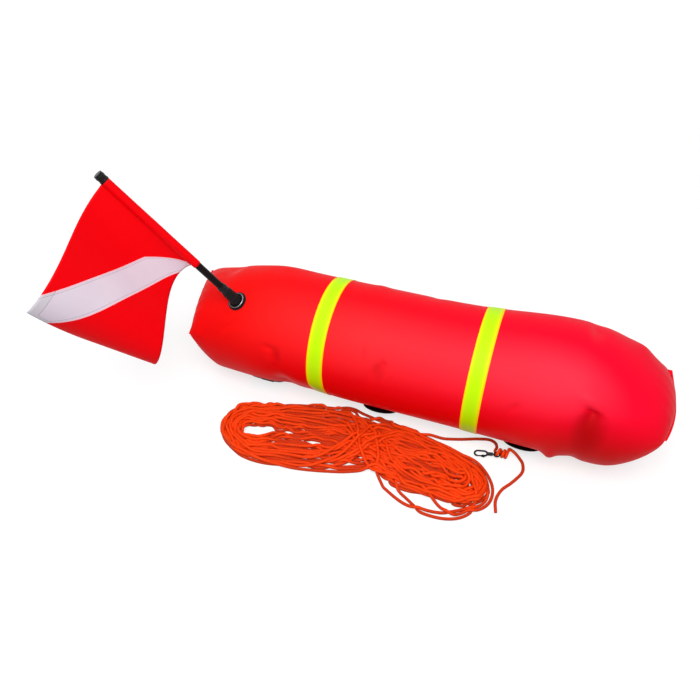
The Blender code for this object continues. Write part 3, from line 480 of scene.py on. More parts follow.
def wander(phase, pitches, sizes, dice):
    """A smooth stray to and fro along the line: waves that never repeat from turn to turn."""
    total = np.zeros_like(phase)
    for pitch, size in zip(pitches, sizes):
        for _ in range(3):
            share = pitch * dice.uniform(0.85, 1.15)
            total += size / 1.7 * np.sin(TURN * (phase * share + dice.uniform(0, 1)))
    return total


def hung_hank(dice):
    """The hank before it settles, each turn above the last, and which of its points hang out of the bunch."""
    start, stop = 0.5, 2 * LOOPS_PER_LAYER + HANK_EXIT_TURN
    phase = np.linspace(start, stop, HUNG_SAMPLES)
    middle = (start + stop) / 2
    share = np.abs(phase - middle) / (stop - middle)
    turn = np.floor(phase + 0.07)
    side = np.where(phase % 1.0 < 0.5, 1.0, -1.0)
    run = 0.5 - HANK_END_TURN
    part = phase % 0.5
    straight = part < run
    angle = np.pi * (part - run) / HANK_END_TURN
    left = HUNG_LEFT + wander(phase, (0.5,), (0.003,), dice)
    right = HUNG_RIGHT - HUNG_RIGHT_STAGGER * np.abs(np.sin(turn * 1.7))
    right = right + wander(phase, (0.6,), (0.008,), dice)
    way = np.where(side > 0, left + (right - left) * part / run, right - (right - left) * part / run)
    reach = np.where(side > 0, 0.020 + 0.020 * share, 0.026 + 0.025 * share)
    x = np.where(straight, way, np.where(side > 0, right, left) + side * reach * np.sin(angle))
    eye = np.interp(x, (-0.26, -0.20, -0.12, -0.05), (0.30, 0.20, 0.08, 0.03))
    across = side * (eye + (1 - eye) * share) * np.where(straight, 1.0, np.cos(angle))
    crossing = smooth((x + 0.065 + 0.025 * np.sin(turn * 2.4)) / 0.075)
    across = across * (1 - 2 * np.isin(turn, HANK_CROSSED_TURNS) * crossing)
    outline = np.array(HANK_OUTLINE)
    near = np.interp(x, outline[:, 0], outline[:, 2]) + ROPE_RADIUS
    far = np.interp(x, outline[:, 0], outline[:, 3]) - ROPE_RADIUS
    spine = (near + far) / 2 - 0.022 * smooth((x - 0.08) / 0.10) - 0.010 * smooth((-0.16 - x) / 0.06)
    y = spine + across * np.where(across < 0, spine - near, far - spine)
    stray = wander(phase, (2.3, 4.7, 8.5), (0.0060, 0.0045, 0.0026), dice)
    y = y + stray * (0.45 + 0.75 * np.exp(-((x / 0.07) ** 2)) + 0.40 * smooth((x - 0.06) / 0.06))
    hanging = np.zeros(len(phase))
    for number, route in HANK_HANGING_TURNS:
        route = np.array(route)
        here = turn == number
        drawn = smooth((x - route[0, 0] + 0.02) / 0.02) * (here & (across < 0))
        y = y + (np.interp(x, route[:, 0], route[:, 1]) - y) * drawn
        hanging[here & (x > route[0, 0])] = 1
    bow = np.exp(-(((x - HANK_BOW_PLACE) / HUNG_BOW_WIDTH) ** 2))
    y = y + HUNG_BOW * bow * ((turn == HANK_BOW_TURN) & (side > 0))
    return np.stack([x, y, ROPE_RADIUS + (phase - start) * ROPE_DIAMETER * HUNG_RISE], -1), hanging


def close_pairs(points):
    """Pairs of points of the line that lie near each other but aren't neighbours along it."""
    rows = points.tolist()
    tree = kdtree.KDTree(len(rows))
    for k, place in enumerate(rows):
        tree.insert(place, k)
    tree.balance()
    pairs = []
    for k, place in enumerate(rows):
        pairs += [(k, j) for _, j, _ in tree.find_range(place, PAIR_REACH) if j > k + PAIR_STEPS]
    return np.array(pairs)


def keep_apart(points, pairs):
    """Pushes touching strands to a diameter apart."""
    one, two = pairs[:, 0], pairs[:, 1]
    gap = points[two] - points[one]
    size = np.maximum(np.linalg.norm(gap, axis=1), 1e-6)
    hit = size < HANK_STRAND_GAP
    one, two = one[hit], two[hit]
    move = gap[hit] * ((HANK_STRAND_GAP - size[hit]) / size[hit] * STRAND_PUSH)[:, None]
    push, many = np.zeros_like(points), np.ones(len(points)) * 1e-9
    np.add.at(push, one, -move)
    np.add.at(push, two, move)
    np.add.at(many, one, 1)
    np.add.at(many, two, 1)
    points += push / np.maximum(many, 1)[:, None]
    points[:, 2] = np.maximum(points[:, 2], ROPE_RADIUS)


def keep_length(points, rest):
    """Brings each step of the line back to its length, every other step at a time."""
    for first in (0, 1):
        count = (len(points) - first) // 2
        one, two = points[first : first + 2 * count : 2], points[first + 1 : first + 1 + 2 * count : 2]
        step = two - one
        size = np.linalg.norm(step, axis=1, keepdims=True)
        step *= (size - rest) / size / 2
        one += step
        two -= step


def keep_round(points, rest):
    """Opens bends that are tighter than the line lies in."""
    for span, radius in BEND_LIMITS:
        least = 2 * radius * math.sin(span * rest / (2 * radius))
        chord = points[span:] - points[:-span]
        size = np.linalg.norm(chord, axis=1, keepdims=True)
        chord *= np.maximum(least - size, 0) / size / 4
        points[:-span] -= chord
        points[span:] += chord


def keep_inside(points, hanging):
    """Holds the hank in its outline, and its openings open."""
    outline = np.array(HANK_OUTLINE)
    x = points[:, 0]
    far = np.interp(x, outline[:, 0], outline[:, 3]) - ROPE_RADIUS
    far = far + HANK_BOW * np.exp(-(((x - HANK_BOW_PLACE) / HANK_BOW_WIDTH) ** 2))
    loose, bunch = (np.interp(x, outline[:, 0], outline[:, k]) + ROPE_RADIUS for k in (1, 2))
    near = np.where(hanging, loose, bunch)
    points[:, 1] -= np.maximum(points[:, 1] - far, 0) * OUTLINE_PULL
    points[:, 1] += np.maximum(near - points[:, 1], 0) * OUTLINE_PULL
    points[:, 0] = np.clip(x, outline[0, 0] + ROPE_RADIUS, outline[-1, 0] - ROPE_RADIUS)
    along = np.array((math.cos(VIEW_TURN), math.sin(VIEW_TURN)))
    over = np.array((-along[1], along[0]))
    for x, y, length, width in HANK_GAPS:
        away = points[:, :2] - (x, y)
        p, q = away @ along, away @ over
        depth = np.hypot(p / (length + ROPE_RADIUS), q / (width + ROPE_RADIUS))
        push = np.maximum(1 - depth, 0) / np.maximum(depth, 0.05) * OPENING_PUSH
        points[:, :2] += np.outer(p * push * OPENING_PUSH_ALONG, along) + np.outer(q * push, over)


def settled_hank():
    """The hank's points after it has dropped on the floor and on itself: a line of fixed length."""
    points, hanging = hung_hank(np.random.default_rng(HUNG_SEED))
    walked = np.append(0, np.cumsum(np.linalg.norm(np.diff(points, axis=0), axis=1)))
    first = walked[-1] - HANK_LENGTH
    count = round(HANK_LENGTH / ROPE_DIAMETER)
    at = np.linspace(first, walked[-1], count + 1)
    rest = HANK_LENGTH / count
    points = np.stack([np.interp(at, walked, points[:, k]) for k in range(3)], -1)
    hanging = np.interp(at, walked, hanging) > 0.5
    height = points[-1, 2] - HANK_EXIT[2]
    heading = np.array(HANK_EXIT_HEADING)
    held = np.array([np.array(HANK_EXIT) - heading * rest * k for k in reversed(range(HELD_POINTS))])
    for step in range(SETTLE_STEPS):
        if step % SETTLE_PAIRS_EVERY == 0:
            pairs = close_pairs(points)
        before = points.copy()
        if step < SETTLE_STEPS - SETTLE_STILL_STEPS:
            points[:, 2] -= HANK_DROP
        for _ in range(SETTLE_ROUNDS):
            keep_round(points, rest)
            keep_length(points, rest)
            keep_apart(points, pairs)
        points[:, :2] = before[:, :2] + (points[:, :2] - before[:, :2]) * SETTLE_KEPT_MOVE
        points[1:-1] += SETTLE_SMOOTHING * ((points[:-2] + points[2:]) / 2 - points[1:-1])
        lift = height * max(1 - step / (SETTLE_STEPS * SETTLE_LOWERED), 0)
        points[-HELD_POINTS:] = held + (0, 0, lift)
        keep_inside(points, hanging)
    return points


def knot_point(turns):
    """A point of the knot, after some turns of its coil."""
    angle = TURN * turns
    x = KNOT_PLACE[0] + KNOT_FIRST_STEP * min(turns, 1.0) + STRAND_PITCH * max(turns - 1.0, 0.0)
    y = KNOT_PLACE[1] - KNOT_RADIUS * math.sin(angle)
    return Vector((x, y, LIFT + ROPE_RADIUS + KNOT_RADIUS * (1 - math.cos(angle))))


def tube(name, path, radius, sides):
    """A round line along the path, with its length and its way round kept as a UV map in metres and turns."""
    path = [Vector(p) for p in path]
    heads = [(path[min(k + 1, len(path) - 1)] - path[max(k - 1, 0)]).normalized() for k in range(len(path))]
    side = heads[0].cross(Vector((0, 0, 1))).normalized()
    walked = [0.0]
    for p, q in zip(path, path[1:]):
        walked.append(walked[-1] + (q - p).length)
    points = []
    for k, (here, head) in enumerate(zip(path, heads)):
        side = (side - head * side.dot(head)).normalized()
        other = head.cross(side)
        for j in range(sides):
            turn = TURN * j / sides
            points.append(here + side * (radius * math.cos(turn)) + other * (radius * math.sin(turn)))
    faces, uv = [], []
    for k in range(len(path) - 1):
        for j in range(sides):
            a, b = k * sides + j, k * sides + (j + 1) % sides
            faces.append((a, b, b + sides, a + sides))
            u0, u1, v0, v1 = walked[k], walked[k + 1], j / sides, (j + 1) / sides
            uv.append(((u0, v0), (u0, v1), (u1, v1), (u1, v0)))
    for first, outward in ((0, -1), (len(path) - 1, 1)):
        crown = len(points)
        points.append(path[first] + heads[first] * (outward * radius * 0.45))
        u = walked[first]
        for j in range(sides):
            a, b = first * sides + j, first * sides + (j + 1) % sides
            faces.append((b, a, crown) if outward < 0 else (a, b, crown))
            corners = ((u, (j + 1) / sides), (u, j / sides), (u, (j + 0.5) / sides))
            uv.append(corners if outward < 0 else (corners[1], corners[0], corners[2]))
    return new_mesh(name, points, faces, uv)


def rope_finish():
    """A braided line: diagonal strands both ways round, with painted shade in the gaps between them and on
    the strands that lie low.
    """
    made = Finish("braided_line", 0.55, Specular_IOR_Level=0.12)
    spot = made.node("UVMap")
    along, around, _ = made.along(spot)
    one = ((along * 520.0 + around * 6.0) * TURN).wave()
    two = ((along * 520.0 - around * 6.0) * TURN).wave()
    weave = one * two * 0.5 + 0.5
    streak = made.cloud(60.0, 3.0)
    # Painted shade: the gaps between the braid's strands are a darker red.
    strands_with_painted_gap_shade = made.mix(weave ** 0.7, linear(200, 30, 2), linear(255, 76, 8))
    tint = made.mix(streak, linear(248, 48, 6), linear(255, 92, 16))
    colour = made.mix(0.35, strands_with_painted_gap_shade, tint)
    # Painted shade: strands that lie low on the floor are a darker, browner orange.
    _, _, z = made.along()
    clear_of_painted_shade = ((z - 0.004) / 0.0075).held()
    made.set("Base Color", made.mix(clear_of_painted_shade, made.mix(0.6, colour, linear(158, 40, 18)), colour))
    made.set("Normal", made.bump(weave, 0.0004, 0.6))
    return made.made


def add_line():
    """The hank with its lead, and the knot with its tail: two lengths of line tied in the snap's eye."""
    finish = rope_finish()
    hank = finer([Vector(p) for p in settled_hank()])
    heading = Vector(HANK_EXIT_HEADING)
    start = hank[-1] + heading * ROPE_RADIUS
    arrive = Vector((KNOT_FIRST_STEP, -TURN * KNOT_RADIUS, 0)).normalized()
    knot = [knot_point(KNOT_TURNS * k / KNOT_STEPS) for k in range(KNOT_STEPS + 1)]
    knot = [knot[0] - arrive * ROPE_RADIUS, *knot]
    rest = ROPE_RADIUS + LIFT
    end = knot[0] - arrive * GAP
    route = [start, start + heading * ROPE_DIAMETER * 2, *LEAD_ROUTE, end - arrive * ROPE_DIAMETER, end]
    lead = smooth_route(route, LEAD_STEP, rest)
    path = list(reversed(hank + lead[1:]))
    line = tube("scene_line", path, ROPE_RADIUS, LINE_SIDES)
    line.data.materials.append(finish)
    path_length(path)
    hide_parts("line_hank", "line_lead")
    leave = (knot[-1] - knot[-2]).normalized()
    start = knot[-1] + leave * GAP
    tail = smooth_route([start, start + leave * ROPE_DIAMETER, *TAIL_ROUTE], TAIL_STEP, rest)
    path = knot + tail[1:]
    end = tube("scene_line_end", path, ROPE_RADIUS, LINE_END_SIDES)
    end.data.materials.append(finish)
    path_length(path)
    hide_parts("line_knot", "line_tail")
    for piece in (line, end):
        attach(piece, "float")


def dome(distance, end, part):
    """How much of its full size the tube has at a distance from one end."""
    share = np.clip(1 - distance / end[part + "_taper"], 0, 1)
    power = end[part + "_power"]
    return np.maximum(1 - share**power, 0) ** (1 / power)


def smooth(share):
    share = np.clip(share, 0, 1)
    return share * share * (3 - 2 * share)


def skin_base(x, angle):
    """Points of the tube's skin, from its place along X and its angle: 0 at +Y and a quarter at the top."""
    radius = FLOAT_RADIUS + BULGE * np.exp(-(((x - BULGE_PLACE) / BULGE_WIDTH) ** 2))
    middle_z = radius - REST_DENT
    wide, above, below, z = radius, radius, radius, middle_z
    shift, skew, ear, push, lift = 0.0, 0.0, 0.0, 0.0, 0.0
    corner = np.maximum(np.cos(angle), 0) ** CORNER_POWER
    for end, distance, out in ((LEFT_END, x - FLOAT_LEFT, -1), (RIGHT_END, FLOAT_RIGHT - x, 1)):
        weld = 1 - smooth(distance / WELD_REACH)
        push = push + out * weld * (end["seam_bow"] * np.sin(angle) ** 2 - end["ear_back"] * corner)
        lift = lift + weld * end["ear_lift"] * corner
        above = above * dome(distance, end, "upper")
        below = below * dome(distance, end, "lower")
        near = 1 - dome(distance, end, "side")
        wide = wide + (end["seam_half_width"] - radius) * near
        shift = shift + end["seam_shift"] * near
        skew = skew + end["seam_skew"] * near
        ear = ear + end["seam_ear"] * near
        z = z + (end["seam_height"] - middle_z) * (1 - smooth(distance / end["lower_taper"]))
    across = wide * np.cos(angle) + ear * np.maximum(np.cos(angle), 0) ** EAR_POWER
    rise = np.where(np.sin(angle) > 0, above, below) * np.sin(angle)
    return np.stack([x + skew * across + push, shift + across, z + rise + lift], -1)


def skin_points(x, angle):
    """The skin's points with its folds pushed in, never below the floor."""
    here = skin_base(x, angle)
    nudge, turned = 1e-4, 1e-3
    along = skin_base(x + nudge, angle) - skin_base(x - nudge, angle)
    around = skin_base(x, angle + turned) - skin_base(x, angle - turned)
    out = np.cross(around, along)
    out /= np.maximum(np.linalg.norm(out, axis=-1, keepdims=True), 1e-12)
    push = skin_folds(x, angle)
    here = here + out * push[..., None]
    here[..., 2] = np.maximum(here[..., 2], 0.0)
    return here


def skin_folds(x, angle):
    """How far the skin stands out or in: puckers that fan from both welds, and soft folds elsewhere."""
    push = np.zeros_like(x)
    for (reach, count, phase, depth), distance in zip(SKIN_PUCKERS, (x - FLOAT_LEFT, FLOAT_RIGHT - x)):
        near = np.clip(1 - distance / reach, 0, 1)
        fade = near**1.3 * np.clip(distance / 0.008, 0, 1)
        ripple = np.sin(count * angle + phase + 0.7 * np.sin(3 * angle + phase))
        push = push + depth * fade * (np.abs(ripple) - 0.62)
    for place, degrees, heading, length, width, depth, abrupt in SKIN_FOLDS:
        a = np.radians(degrees)
        du = x - place
        dv = (np.mod(angle - a + math.pi, TURN) - math.pi) * FLOAT_RADIUS
        c, s = math.cos(math.radians(heading)), math.sin(math.radians(heading))
        one, two = du * c + dv * s, -du * s + dv * c
        run = np.exp(-((one / length) ** 2))
        if abrupt:
            past = one + length
            run = smooth(past / 0.006) * np.exp(-np.maximum(past, 0) / (1.2 * length))
        push = push + depth * run * np.exp(-((two / width) ** 2))
    return push


def add_skin():
    """The inflated skin, with the narrow weld across each end."""
    around = SKIN_AROUND
    angles = -TURN / 4 + (np.arange(around) + 0.5) * TURN / around
    shares = ((np.arange(SKIN_END_RINGS) + 0.12) / SKIN_END_RINGS) ** 2
    left = FLOAT_LEFT + LEFT_END["upper_taper"] * shares
    right = FLOAT_RIGHT - RIGHT_END["upper_taper"] * shares
    start, stop = FLOAT_LEFT + LEFT_END["upper_taper"], FLOAT_RIGHT - RIGHT_END["upper_taper"]
    places = np.concatenate([left, np.linspace(start, stop, SKIN_MIDDLE_RINGS), right[::-1]])
    grid_x, grid_a = np.meshgrid(places, angles, indexing="ij")
    body = skin_points(grid_x, grid_a)

    def flap(x, reach, half):
        """A flat ring just past a weld."""
        flat = skin_base(np.full(around, x), angles)
        below = skin_base(np.full(around, x), -angles)
        flat[:, 0] += reach * (1 + CORNER_REACH * np.maximum(np.cos(angles), 0) ** CORNER_POWER)
        flat[:, 2] = (flat[:, 2] + below[:, 2]) / 2 + half * np.sin(angles)
        return flat[None]

    left_weld = [flap(places[0], -reach, half) for reach, half in WELD_RINGS]
    right_weld = [flap(places[-1], reach, half) for reach, half in reversed(WELD_RINGS)]
    rings = np.concatenate([*left_weld, body, *right_weld])
    count = len(rings)
    points = rings.reshape(-1, 3)
    faces = []
    for i in range(count - 1):
        for j in range(around):
            a, b = i * around + j, i * around + (j + 1) % around
            faces.append((a, b, b + around, a + around))
    for ring, flip in ((0, True), (count - 1, False)):
        low, high = ring * around, ring * around + around
        for j in range(around // 2 - 1):
            quad = (low + j, low + j + 1, high - 2 - j, high - 1 - j)
            faces.append(quad if flip else tuple(reversed(quad)))
    skin = new_mesh("scene_skin", points, faces)
    skin.data.materials.append(skin_finish())
    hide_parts("float_skin")
    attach(skin, "float")
    return skin


def skin_finish():
    """Coated nylon: a fine weave, cooler in tone toward the valve's end, with painted shade on its lower side
    and in its folds, and a painted highlight high on its -Y side.
    """
    made = Finish("coated_nylon", 0.5, Specular_IOR_Level=0.07)
    x, y, z = made.along()
    share = ((x + 0.30) / 0.62).held()
    # Painted shade: lower on the tube the red is darker and less pink.
    high = ((z - 0.09) / 0.08).held()
    tone = made.mix(share, linear(244, 6, 6), linear(247, 2, 44))
    tone = made.mix(high, linear(238, 0, 5), tone)
    # Painted highlight: a paler, pinker band high on the tube's -Y side, raised and narrowed where it bulges.
    bulging = share ** 3
    painted_highlight = ((z - y - 0.223 - bulging * 0.036) / (0.042 - bulging * 0.014)).held() ** 1.5
    painted_highlight = painted_highlight * ((x + 0.36) / 0.30).held()
    tone = made.mix(painted_highlight, tone, made.mix(share, linear(250, 42, 34), linear(252, 42, 68)))
    patchy = made.cloud(9.0, 3.0)
    tone = made.mix(patchy * 0.12, tone, linear(214, 2, 8))
    # Painted shade: a deeper red where the folds sink in, on the -Y side below each patch's top.
    for place, height, length, tall, top, strength in SKIN_PAINTED_SHADES:
        aside, above = (x - place) / length, (z - height) / tall
        away = aside * aside + above * above
        painted_fold_shade = (1.0 - away).highest(0.0) ** 1.5 * y.less(0.0) * ((top - z) / 0.012).held()
        tone = made.mix(painted_fold_shade * strength, tone, linear(172, 0, 2))
    made.set("Base Color", tone)
    weave = (x * 5200.0).wave() * ((y + z) * 5200.0).wave()
    made.set("Normal", made.bump(weave, 0.00004, 0.5, made.bump(made.cloud(22.0, 2.0), 0.0012, 0.35)))
    made.set("Roughness", made.cloud(30.0, 2.0) * 0.10 + 0.46)
    return made.made


def tape_finish(centre):
    """Retroreflective tape: a fine mesh of cells, greener in the middle, with a plain yellow border."""
    made = Finish("reflective_tape", 0.45, Specular_IOR_Level=0.12)
    x, y, z = made.along()
    across = ((x - centre) / (BAND_WIDTH / 2)).size()
    edge = across.more(0.84)
    middle = made.mix((across * 1.25).lowest(1.0) ** 3, linear(190, 244, 0), linear(222, 244, 0))
    made.set("Base Color", made.mix(edge, middle, linear(250, 214, 0)))
    cells = (x * 2400.0).wave() * ((y - z) * 2400.0).wave()
    made.set("Normal", made.bump(cells, 0.00008, 0.4))
    return made.made


def add_tape(name, centre, skin):
    """A tape wrapped on the skin, open where the float rests."""
    clear_selection()
    bpy.ops.mesh.primitive_cylinder_add(
        vertices=192, radius=TAPE_BLANK_RADIUS, depth=BAND_WIDTH, end_fill_type="NOTHING",
        location=(centre, 0, TAPE_BLANK_HEIGHT), rotation=(0, math.pi / 2, 0),
    )
    tape = bpy.context.object
    tape.name = name
    bpy.ops.object.transform_apply(location=True, rotation=True, scale=True)
    bpy.ops.object.mode_set(mode="EDIT")
    for share in TAPE_CUTS:
        bpy.ops.mesh.select_all(action="SELECT")
        bpy.ops.mesh.bisect(plane_co=(centre + share * BAND_WIDTH / 2, 0, 0), plane_no=(1, 0, 0))
    bpy.ops.mesh.select_mode(type="FACE")
    bpy.ops.object.mode_set(mode="OBJECT")
    open_below = TAPE_BLANK_HEIGHT - TAPE_BLANK_RADIUS * math.cos(TAPE_OPEN_HALF)
    for face in tape.data.polygons:
        face.select = face.center.z < open_below
    bpy.ops.object.mode_set(mode="EDIT")
    bpy.ops.mesh.delete(type="FACE")
    bpy.ops.object.mode_set(mode="OBJECT")
    wrap = tape.modifiers.new("On the skin", "SHRINKWRAP")
    wrap.target = skin
    wrap.wrap_method = "NEAREST_SURFACEPOINT"
    wrap.wrap_mode = "ABOVE_SURFACE"
    wrap.offset = TAPE_LIFT
    bpy.ops.object.modifier_apply(modifier=wrap.name)
    thick = tape.modifiers.new("Thickness", "SOLIDIFY")
    thick.thickness = TAPE_THICKNESS
    thick.offset = 1.0
    bpy.ops.object.modifier_apply(modifier=thick.name)
    bpy.ops.object.shade_smooth_by_angle(angle=math.radians(40))
    tape.data.materials.append(tape_finish(centre))
    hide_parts("tape_band_left" if centre < 0 else "tape_band_right")
    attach(tape, "float")


def socket_place():
    return Vector(skin_base(np.array(SOCKET_PLACE), np.array(TURN / 2 - SOCKET_ELEVATION)).tolist())


def flag_point(down, out):
    """A point of the flag's cloth, down the hoist and out along the fly, in metres of flat cloth."""
    level = Vector((POLE_LEAN.x, POLE_LEAN.y, 0)).normalized()
    toward = Vector((0, 0, 1)).cross(level)
    s = down / FLAG_HOIST
    place = socket_place() + POLE_LEAN * (HOIST_TOP - down)
    for k in range(FLAG_STEPS):
        t = out / FLAG_FLY * (k + 0.5) / FLAG_STEPS
        wave = math.sin(math.pi * t)
        terms = (1.0, t, s, s * t, wave, s * wave)
        droop = math.radians(sum(a * b for a, b in zip(FLAG_DROOP_DEGREES, terms)))
        swing = math.radians(sum(a * b for a, b in zip(FLAG_SWING_DEGREES, terms)))
        hang = level * math.cos(droop) - Vector((0, 0, 1)) * math.sin(droop)
        place = place + (hang * math.cos(swing) + toward * math.sin(swing)) * (out / FLAG_STEPS)
    return place


def flag_finish():
    """Coated flag cloth: red, with a pale stripe from the hoist to the fly, its stitching and its hem."""
    made = Finish("flag_cloth", 0.55, Specular_IOR_Level=0.07)
    out, down, _ = made.along(made.node("UVMap"))
    diagonal = math.hypot(FLAG_HOIST, FLAG_FLY)
    off = (out * FLAG_HOIST + down * FLAG_FLY - FLAG_HOIST * FLAG_FLY) / diagonal
    narrow = ((out - FLAG_SLEEVE) * 0.60).lowest(FLAG_STRIPE_WIDTH / 2)
    inside = (narrow + off).lowest(FLAG_STRIPE_WIDTH / 2 - off)
    stripe = inside.more(0.0) * out.more(FLAG_SLEEVE)
    rim = inside.less(0.0018) * stripe
    from_edge = down.lowest(FLAG_FLY - out + FLAG_HEM / 2)
    hem = from_edge.less(FLAG_HEM)
    sewn = (from_edge - FLAG_HEM).size().less(0.0005)
    stitch = (inside - 0.0040).size().less(0.0004).highest(sewn) * stripe
    dash = ((out - down) * 2100.0).wave().more(-0.3)
    patchy = made.cloud(14.0, 3.0)
    red = made.mix(patchy * 0.3, linear(244, 0, 12), linear(222, 0, 8))
    white = made.mix(patchy * 0.5, linear(232, 222, 234), linear(206, 190, 212))
    white = made.mix(hem * 0.5, white, linear(206, 208, 212))
    colour = made.mix(stripe, red, white)
    colour = made.mix(rim * 0.7, colour, linear(250, 196, 210))
    colour = made.mix(stitch * dash * 0.7, colour, linear(120, 110, 125))
    made.set("Base Color", colour)
    weave = (out * 9000.0).wave() * (down * 9000.0).wave()
    sleeve = (out - FLAG_SLEEVE + 0.001).size().less(0.0006)
    seam = made.bump(rim.highest(sleeve), 0.0004, 0.6)
    made.set("Normal", made.bump(weave, 0.00003, 0.5, seam))
    return made.made


def add_flag():
    """One cloth: its sleeve goes round the staff and is sewn down behind, and the rest flies from it."""
    rows, columns, wrap, back = FLAG_ROWS, FLAG_COLUMNS, FLAG_WRAP_COLUMNS, FLAG_BACK_COLUMNS
    reach, overlap = FLAG_REACH, FLAG_OVERLAP
    points, places = [], []
    for i in range(rows + 1):
        down = FLAG_HOIST * i / rows
        centre = flag_point(down, 0.0)
        ahead = flag_point(down, 0.01) - centre
        first = (ahead - POLE_LEAN * ahead.dot(POLE_LEAN)).normalized()
        second = POLE_LEAN.cross(first)
        for k in range(back):
            out = overlap + (reach * 1.05 - overlap) * k / back
            points.append(flag_point(down, out) - second * 0.0011)
            places.append((0.002 + out, down))
        for k in range(wrap):
            turn = math.radians(-12) - math.radians(336) * k / (wrap - 1)
            points.append(centre + first * (reach * math.cos(turn)) + second * (reach * math.sin(turn)))
            places.append((reach * (1 - k / wrap) * 0.2, down))
        for j in range(columns + 1):
            out = reach * 1.12 + (FLAG_FLY - reach * 1.12) * j / columns
            points.append(flag_point(down, out))
            places.append((out, down))
    wide = back + wrap + columns + 1
    faces, uv = [], []
    for i in range(rows):
        for j in range(wide - 1):
            quad = (i * wide + j, i * wide + j + 1, (i + 1) * wide + j + 1, (i + 1) * wide + j)
            faces.append(quad)
            uv.append([places[v] for v in quad])
    flag = new_mesh("scene_flag", points, faces, uv)
    clear_selection()
    flag.select_set(True)
    bpy.context.view_layer.objects.active = flag
    thick = flag.modifiers.new("Thickness", "SOLIDIFY")
    thick.thickness = FLAG_THICKNESS
    thick.offset = 0.0
    bpy.ops.object.modifier_apply(modifier=thick.name)
    flag.data.materials.append(flag_finish())
    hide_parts("flag_upper_panel", "flag_stripe", "flag_lower_panel")
    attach(flag, "flag")


def plain_finish(name, colour, roughness, grain, grain_scale, **fixed):
    """A moulded finish: an even colour with faint flow marks, a little dust and a fine grain."""
    made = Finish(name, roughness, **fixed)
    dusty = tuple(c * 1.6 + 0.001 for c in colour)
    made.set("Base Color", made.mix(made.cloud(180.0, 3.0) * 0.6, colour, dusty))
    made.set("Roughness", made.cloud(90.0, 2.0) * 0.18 + (roughness - 0.09))
    made.set("Normal", made.bump(made.cloud(grain_scale, 2.0), grain, 0.5))
    return made.made


def webbing_finish():
    """Black webbing: narrow ribs along it and a fine cross weave."""
    made = Finish("black_webbing", 0.78, Specular_IOR_Level=0.1)
    x, y, z = made.along()
    ribs = (x * 3600.0).wave()
    picks = ((y - z) * 4200.0).wave()
    weave = ribs * picks
    made.set("Base Color", made.mix(weave * 0.5 + 0.5, linear(12, 12, 14), linear(32, 31, 33)))
    made.set("Normal", made.bump(weave, 0.0002, 0.8))
    return made.made


def metal_finish():
    made = Finish("bright_wire", 0.28, 1.0)
    made.set("Base Color", made.mix(made.cloud(260.0, 3.0), linear(86, 88, 92), linear(150, 152, 156)))
    made.set("Roughness", made.cloud(140.0, 2.0) * 0.2 + 0.18)
    return made.made


def dress(finish, *names):
    for name in names:
        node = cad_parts[name]
        node.data.materials.clear()
        node.data.materials.append(finish)


def add_hardware():
    moulded = plain_finish("moulded_black", linear(14, 13, 15), 0.28, 0.00006, 900.0, Specular_IOR_Level=0.16)
    rubber = plain_finish("black_rubber", linear(15, 14, 15), 0.42, 0.00010, 600.0, Specular_IOR_Level=0.12)
    pole = plain_finish("black_pole", linear(17, 10, 11), 0.36, 0.00004, 700.0, Specular_IOR_Level=0.07)
    patch = plain_finish("black_patch", linear(16, 15, 16), 0.42, 0.00010, 500.0, Specular_IOR_Level=0.1)
    dress(moulded, "d_ring_1", "d_ring_2", "d_ring_3", "hook_eye", "hook_body", "hook_gate")
    dress(moulded, "valve_barrel", "valve_knob", "pole_cap", "pole_ferrule")
    dress(pole, "flag_pole")
    dress(rubber, "socket_flange", "socket_boot", "valve_flange", "valve_check_disc")
    dress(patch, "anchor_patch_1", "anchor_patch_2", "anchor_patch_3")
    dress(webbing_finish(), "anchor_webbing_1", "anchor_webbing_2", "anchor_webbing_3")
    dress(metal_finish(), "socket_clamp_ring", "hook_gate_pin")


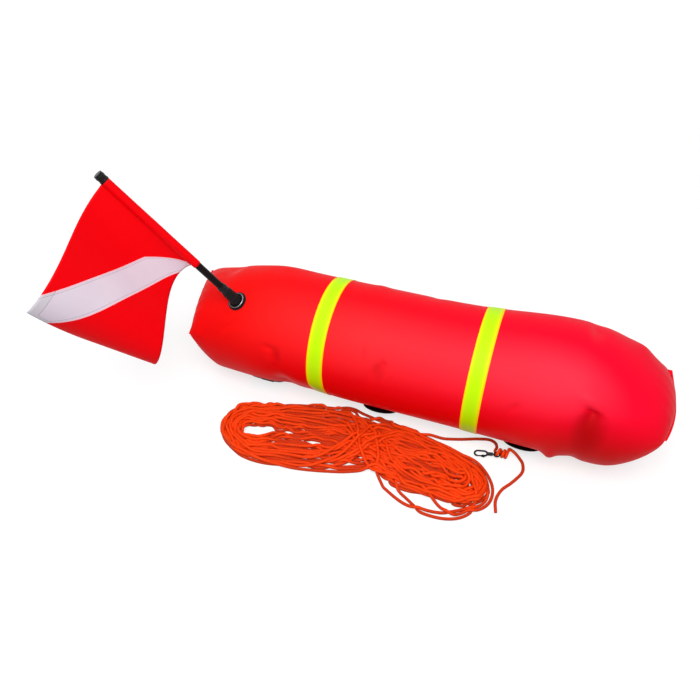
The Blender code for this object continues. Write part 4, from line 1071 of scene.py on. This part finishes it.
def add_light(name, place, target, size, power):
    data = bpy.data.lights.new(name, "AREA")
    data.shape = "SQUARE"
    data.size = size
    data.energy = power
    made = bpy.data.objects.new(name, data)
    made.location = place
    made.rotation_euler = (Vector(target) - Vector(place)).to_track_quat("-Z", "Y").to_euler()
    bpy.context.scene.collection.objects.link(made)


def shown_rays(tree):
    """1 for the rays that show the background itself: the camera's, and those off metal or through glass."""
    paths = tree.nodes.new("ShaderNodeLightPath")
    kinds = ("Is Camera Ray", "Is Glossy Ray", "Is Transmission Ray")
    camera, glossy, through = (Socket(tree, paths.outputs[kind]) for kind in kinds)
    return camera.highest(glossy).highest(through)


def add_studio():
    """A white floor and surround, with a large soft lamp near the camera and a weaker one above."""
    clear_selection()
    bpy.ops.mesh.primitive_plane_add(size=FLOOR_SIZE, location=(0, 0, 0))
    floor = bpy.context.object
    floor.name = "floor"
    finish = Finish("white_floor", 0.9)
    finish.shader.inputs["Base Color"].default_value = (*FLOOR_GREY, 1)
    finish.shader.inputs["Emission Strength"].default_value = 1.0
    x, y, _ = finish.along()
    away = (((x * x + y * y) ** 0.5 - FLOOR_NEAR) / FLOOR_FADE).held()
    glow = finish.mix(away, FLOOR_GLOW_NEAR, FLOOR_GLOW_FAR)
    finish.set("Emission Color", finish.mix(shown_rays(finish.tree), (0, 0, 0), glow))
    floor.data.materials.append(finish.made)

    world = bpy.data.worlds.new("white_surround")
    world.use_nodes = True
    tree = world.node_tree
    back = tree.nodes["Background"]
    back.inputs["Color"].default_value = (1, 1, 1, 1)
    strength = shown_rays(tree) * (1.0 - SKY_LIGHT) + SKY_LIGHT
    tree.links.new(strength.link, back.inputs["Strength"])
    bpy.context.scene.world = world
    add_light("key", place=(0.30, -1.20, 1.85), target=LIT_PLACE, size=1.3, power=36.0)
    add_light("top", place=(-0.7, 0.4, 2.2), target=LIT_PLACE, size=1.6, power=10.0)
    bpy.context.scene.view_settings.view_transform = "Standard"


def main():
    add_camera()
    add_line()
    skin = add_skin()
    add_tape("scene_tape_left", BAND_PLACES[0], skin)
    add_tape("scene_tape_right", BAND_PLACES[1], skin)
    add_flag()
    add_hardware()
    add_studio()
    clear_selection()


main()
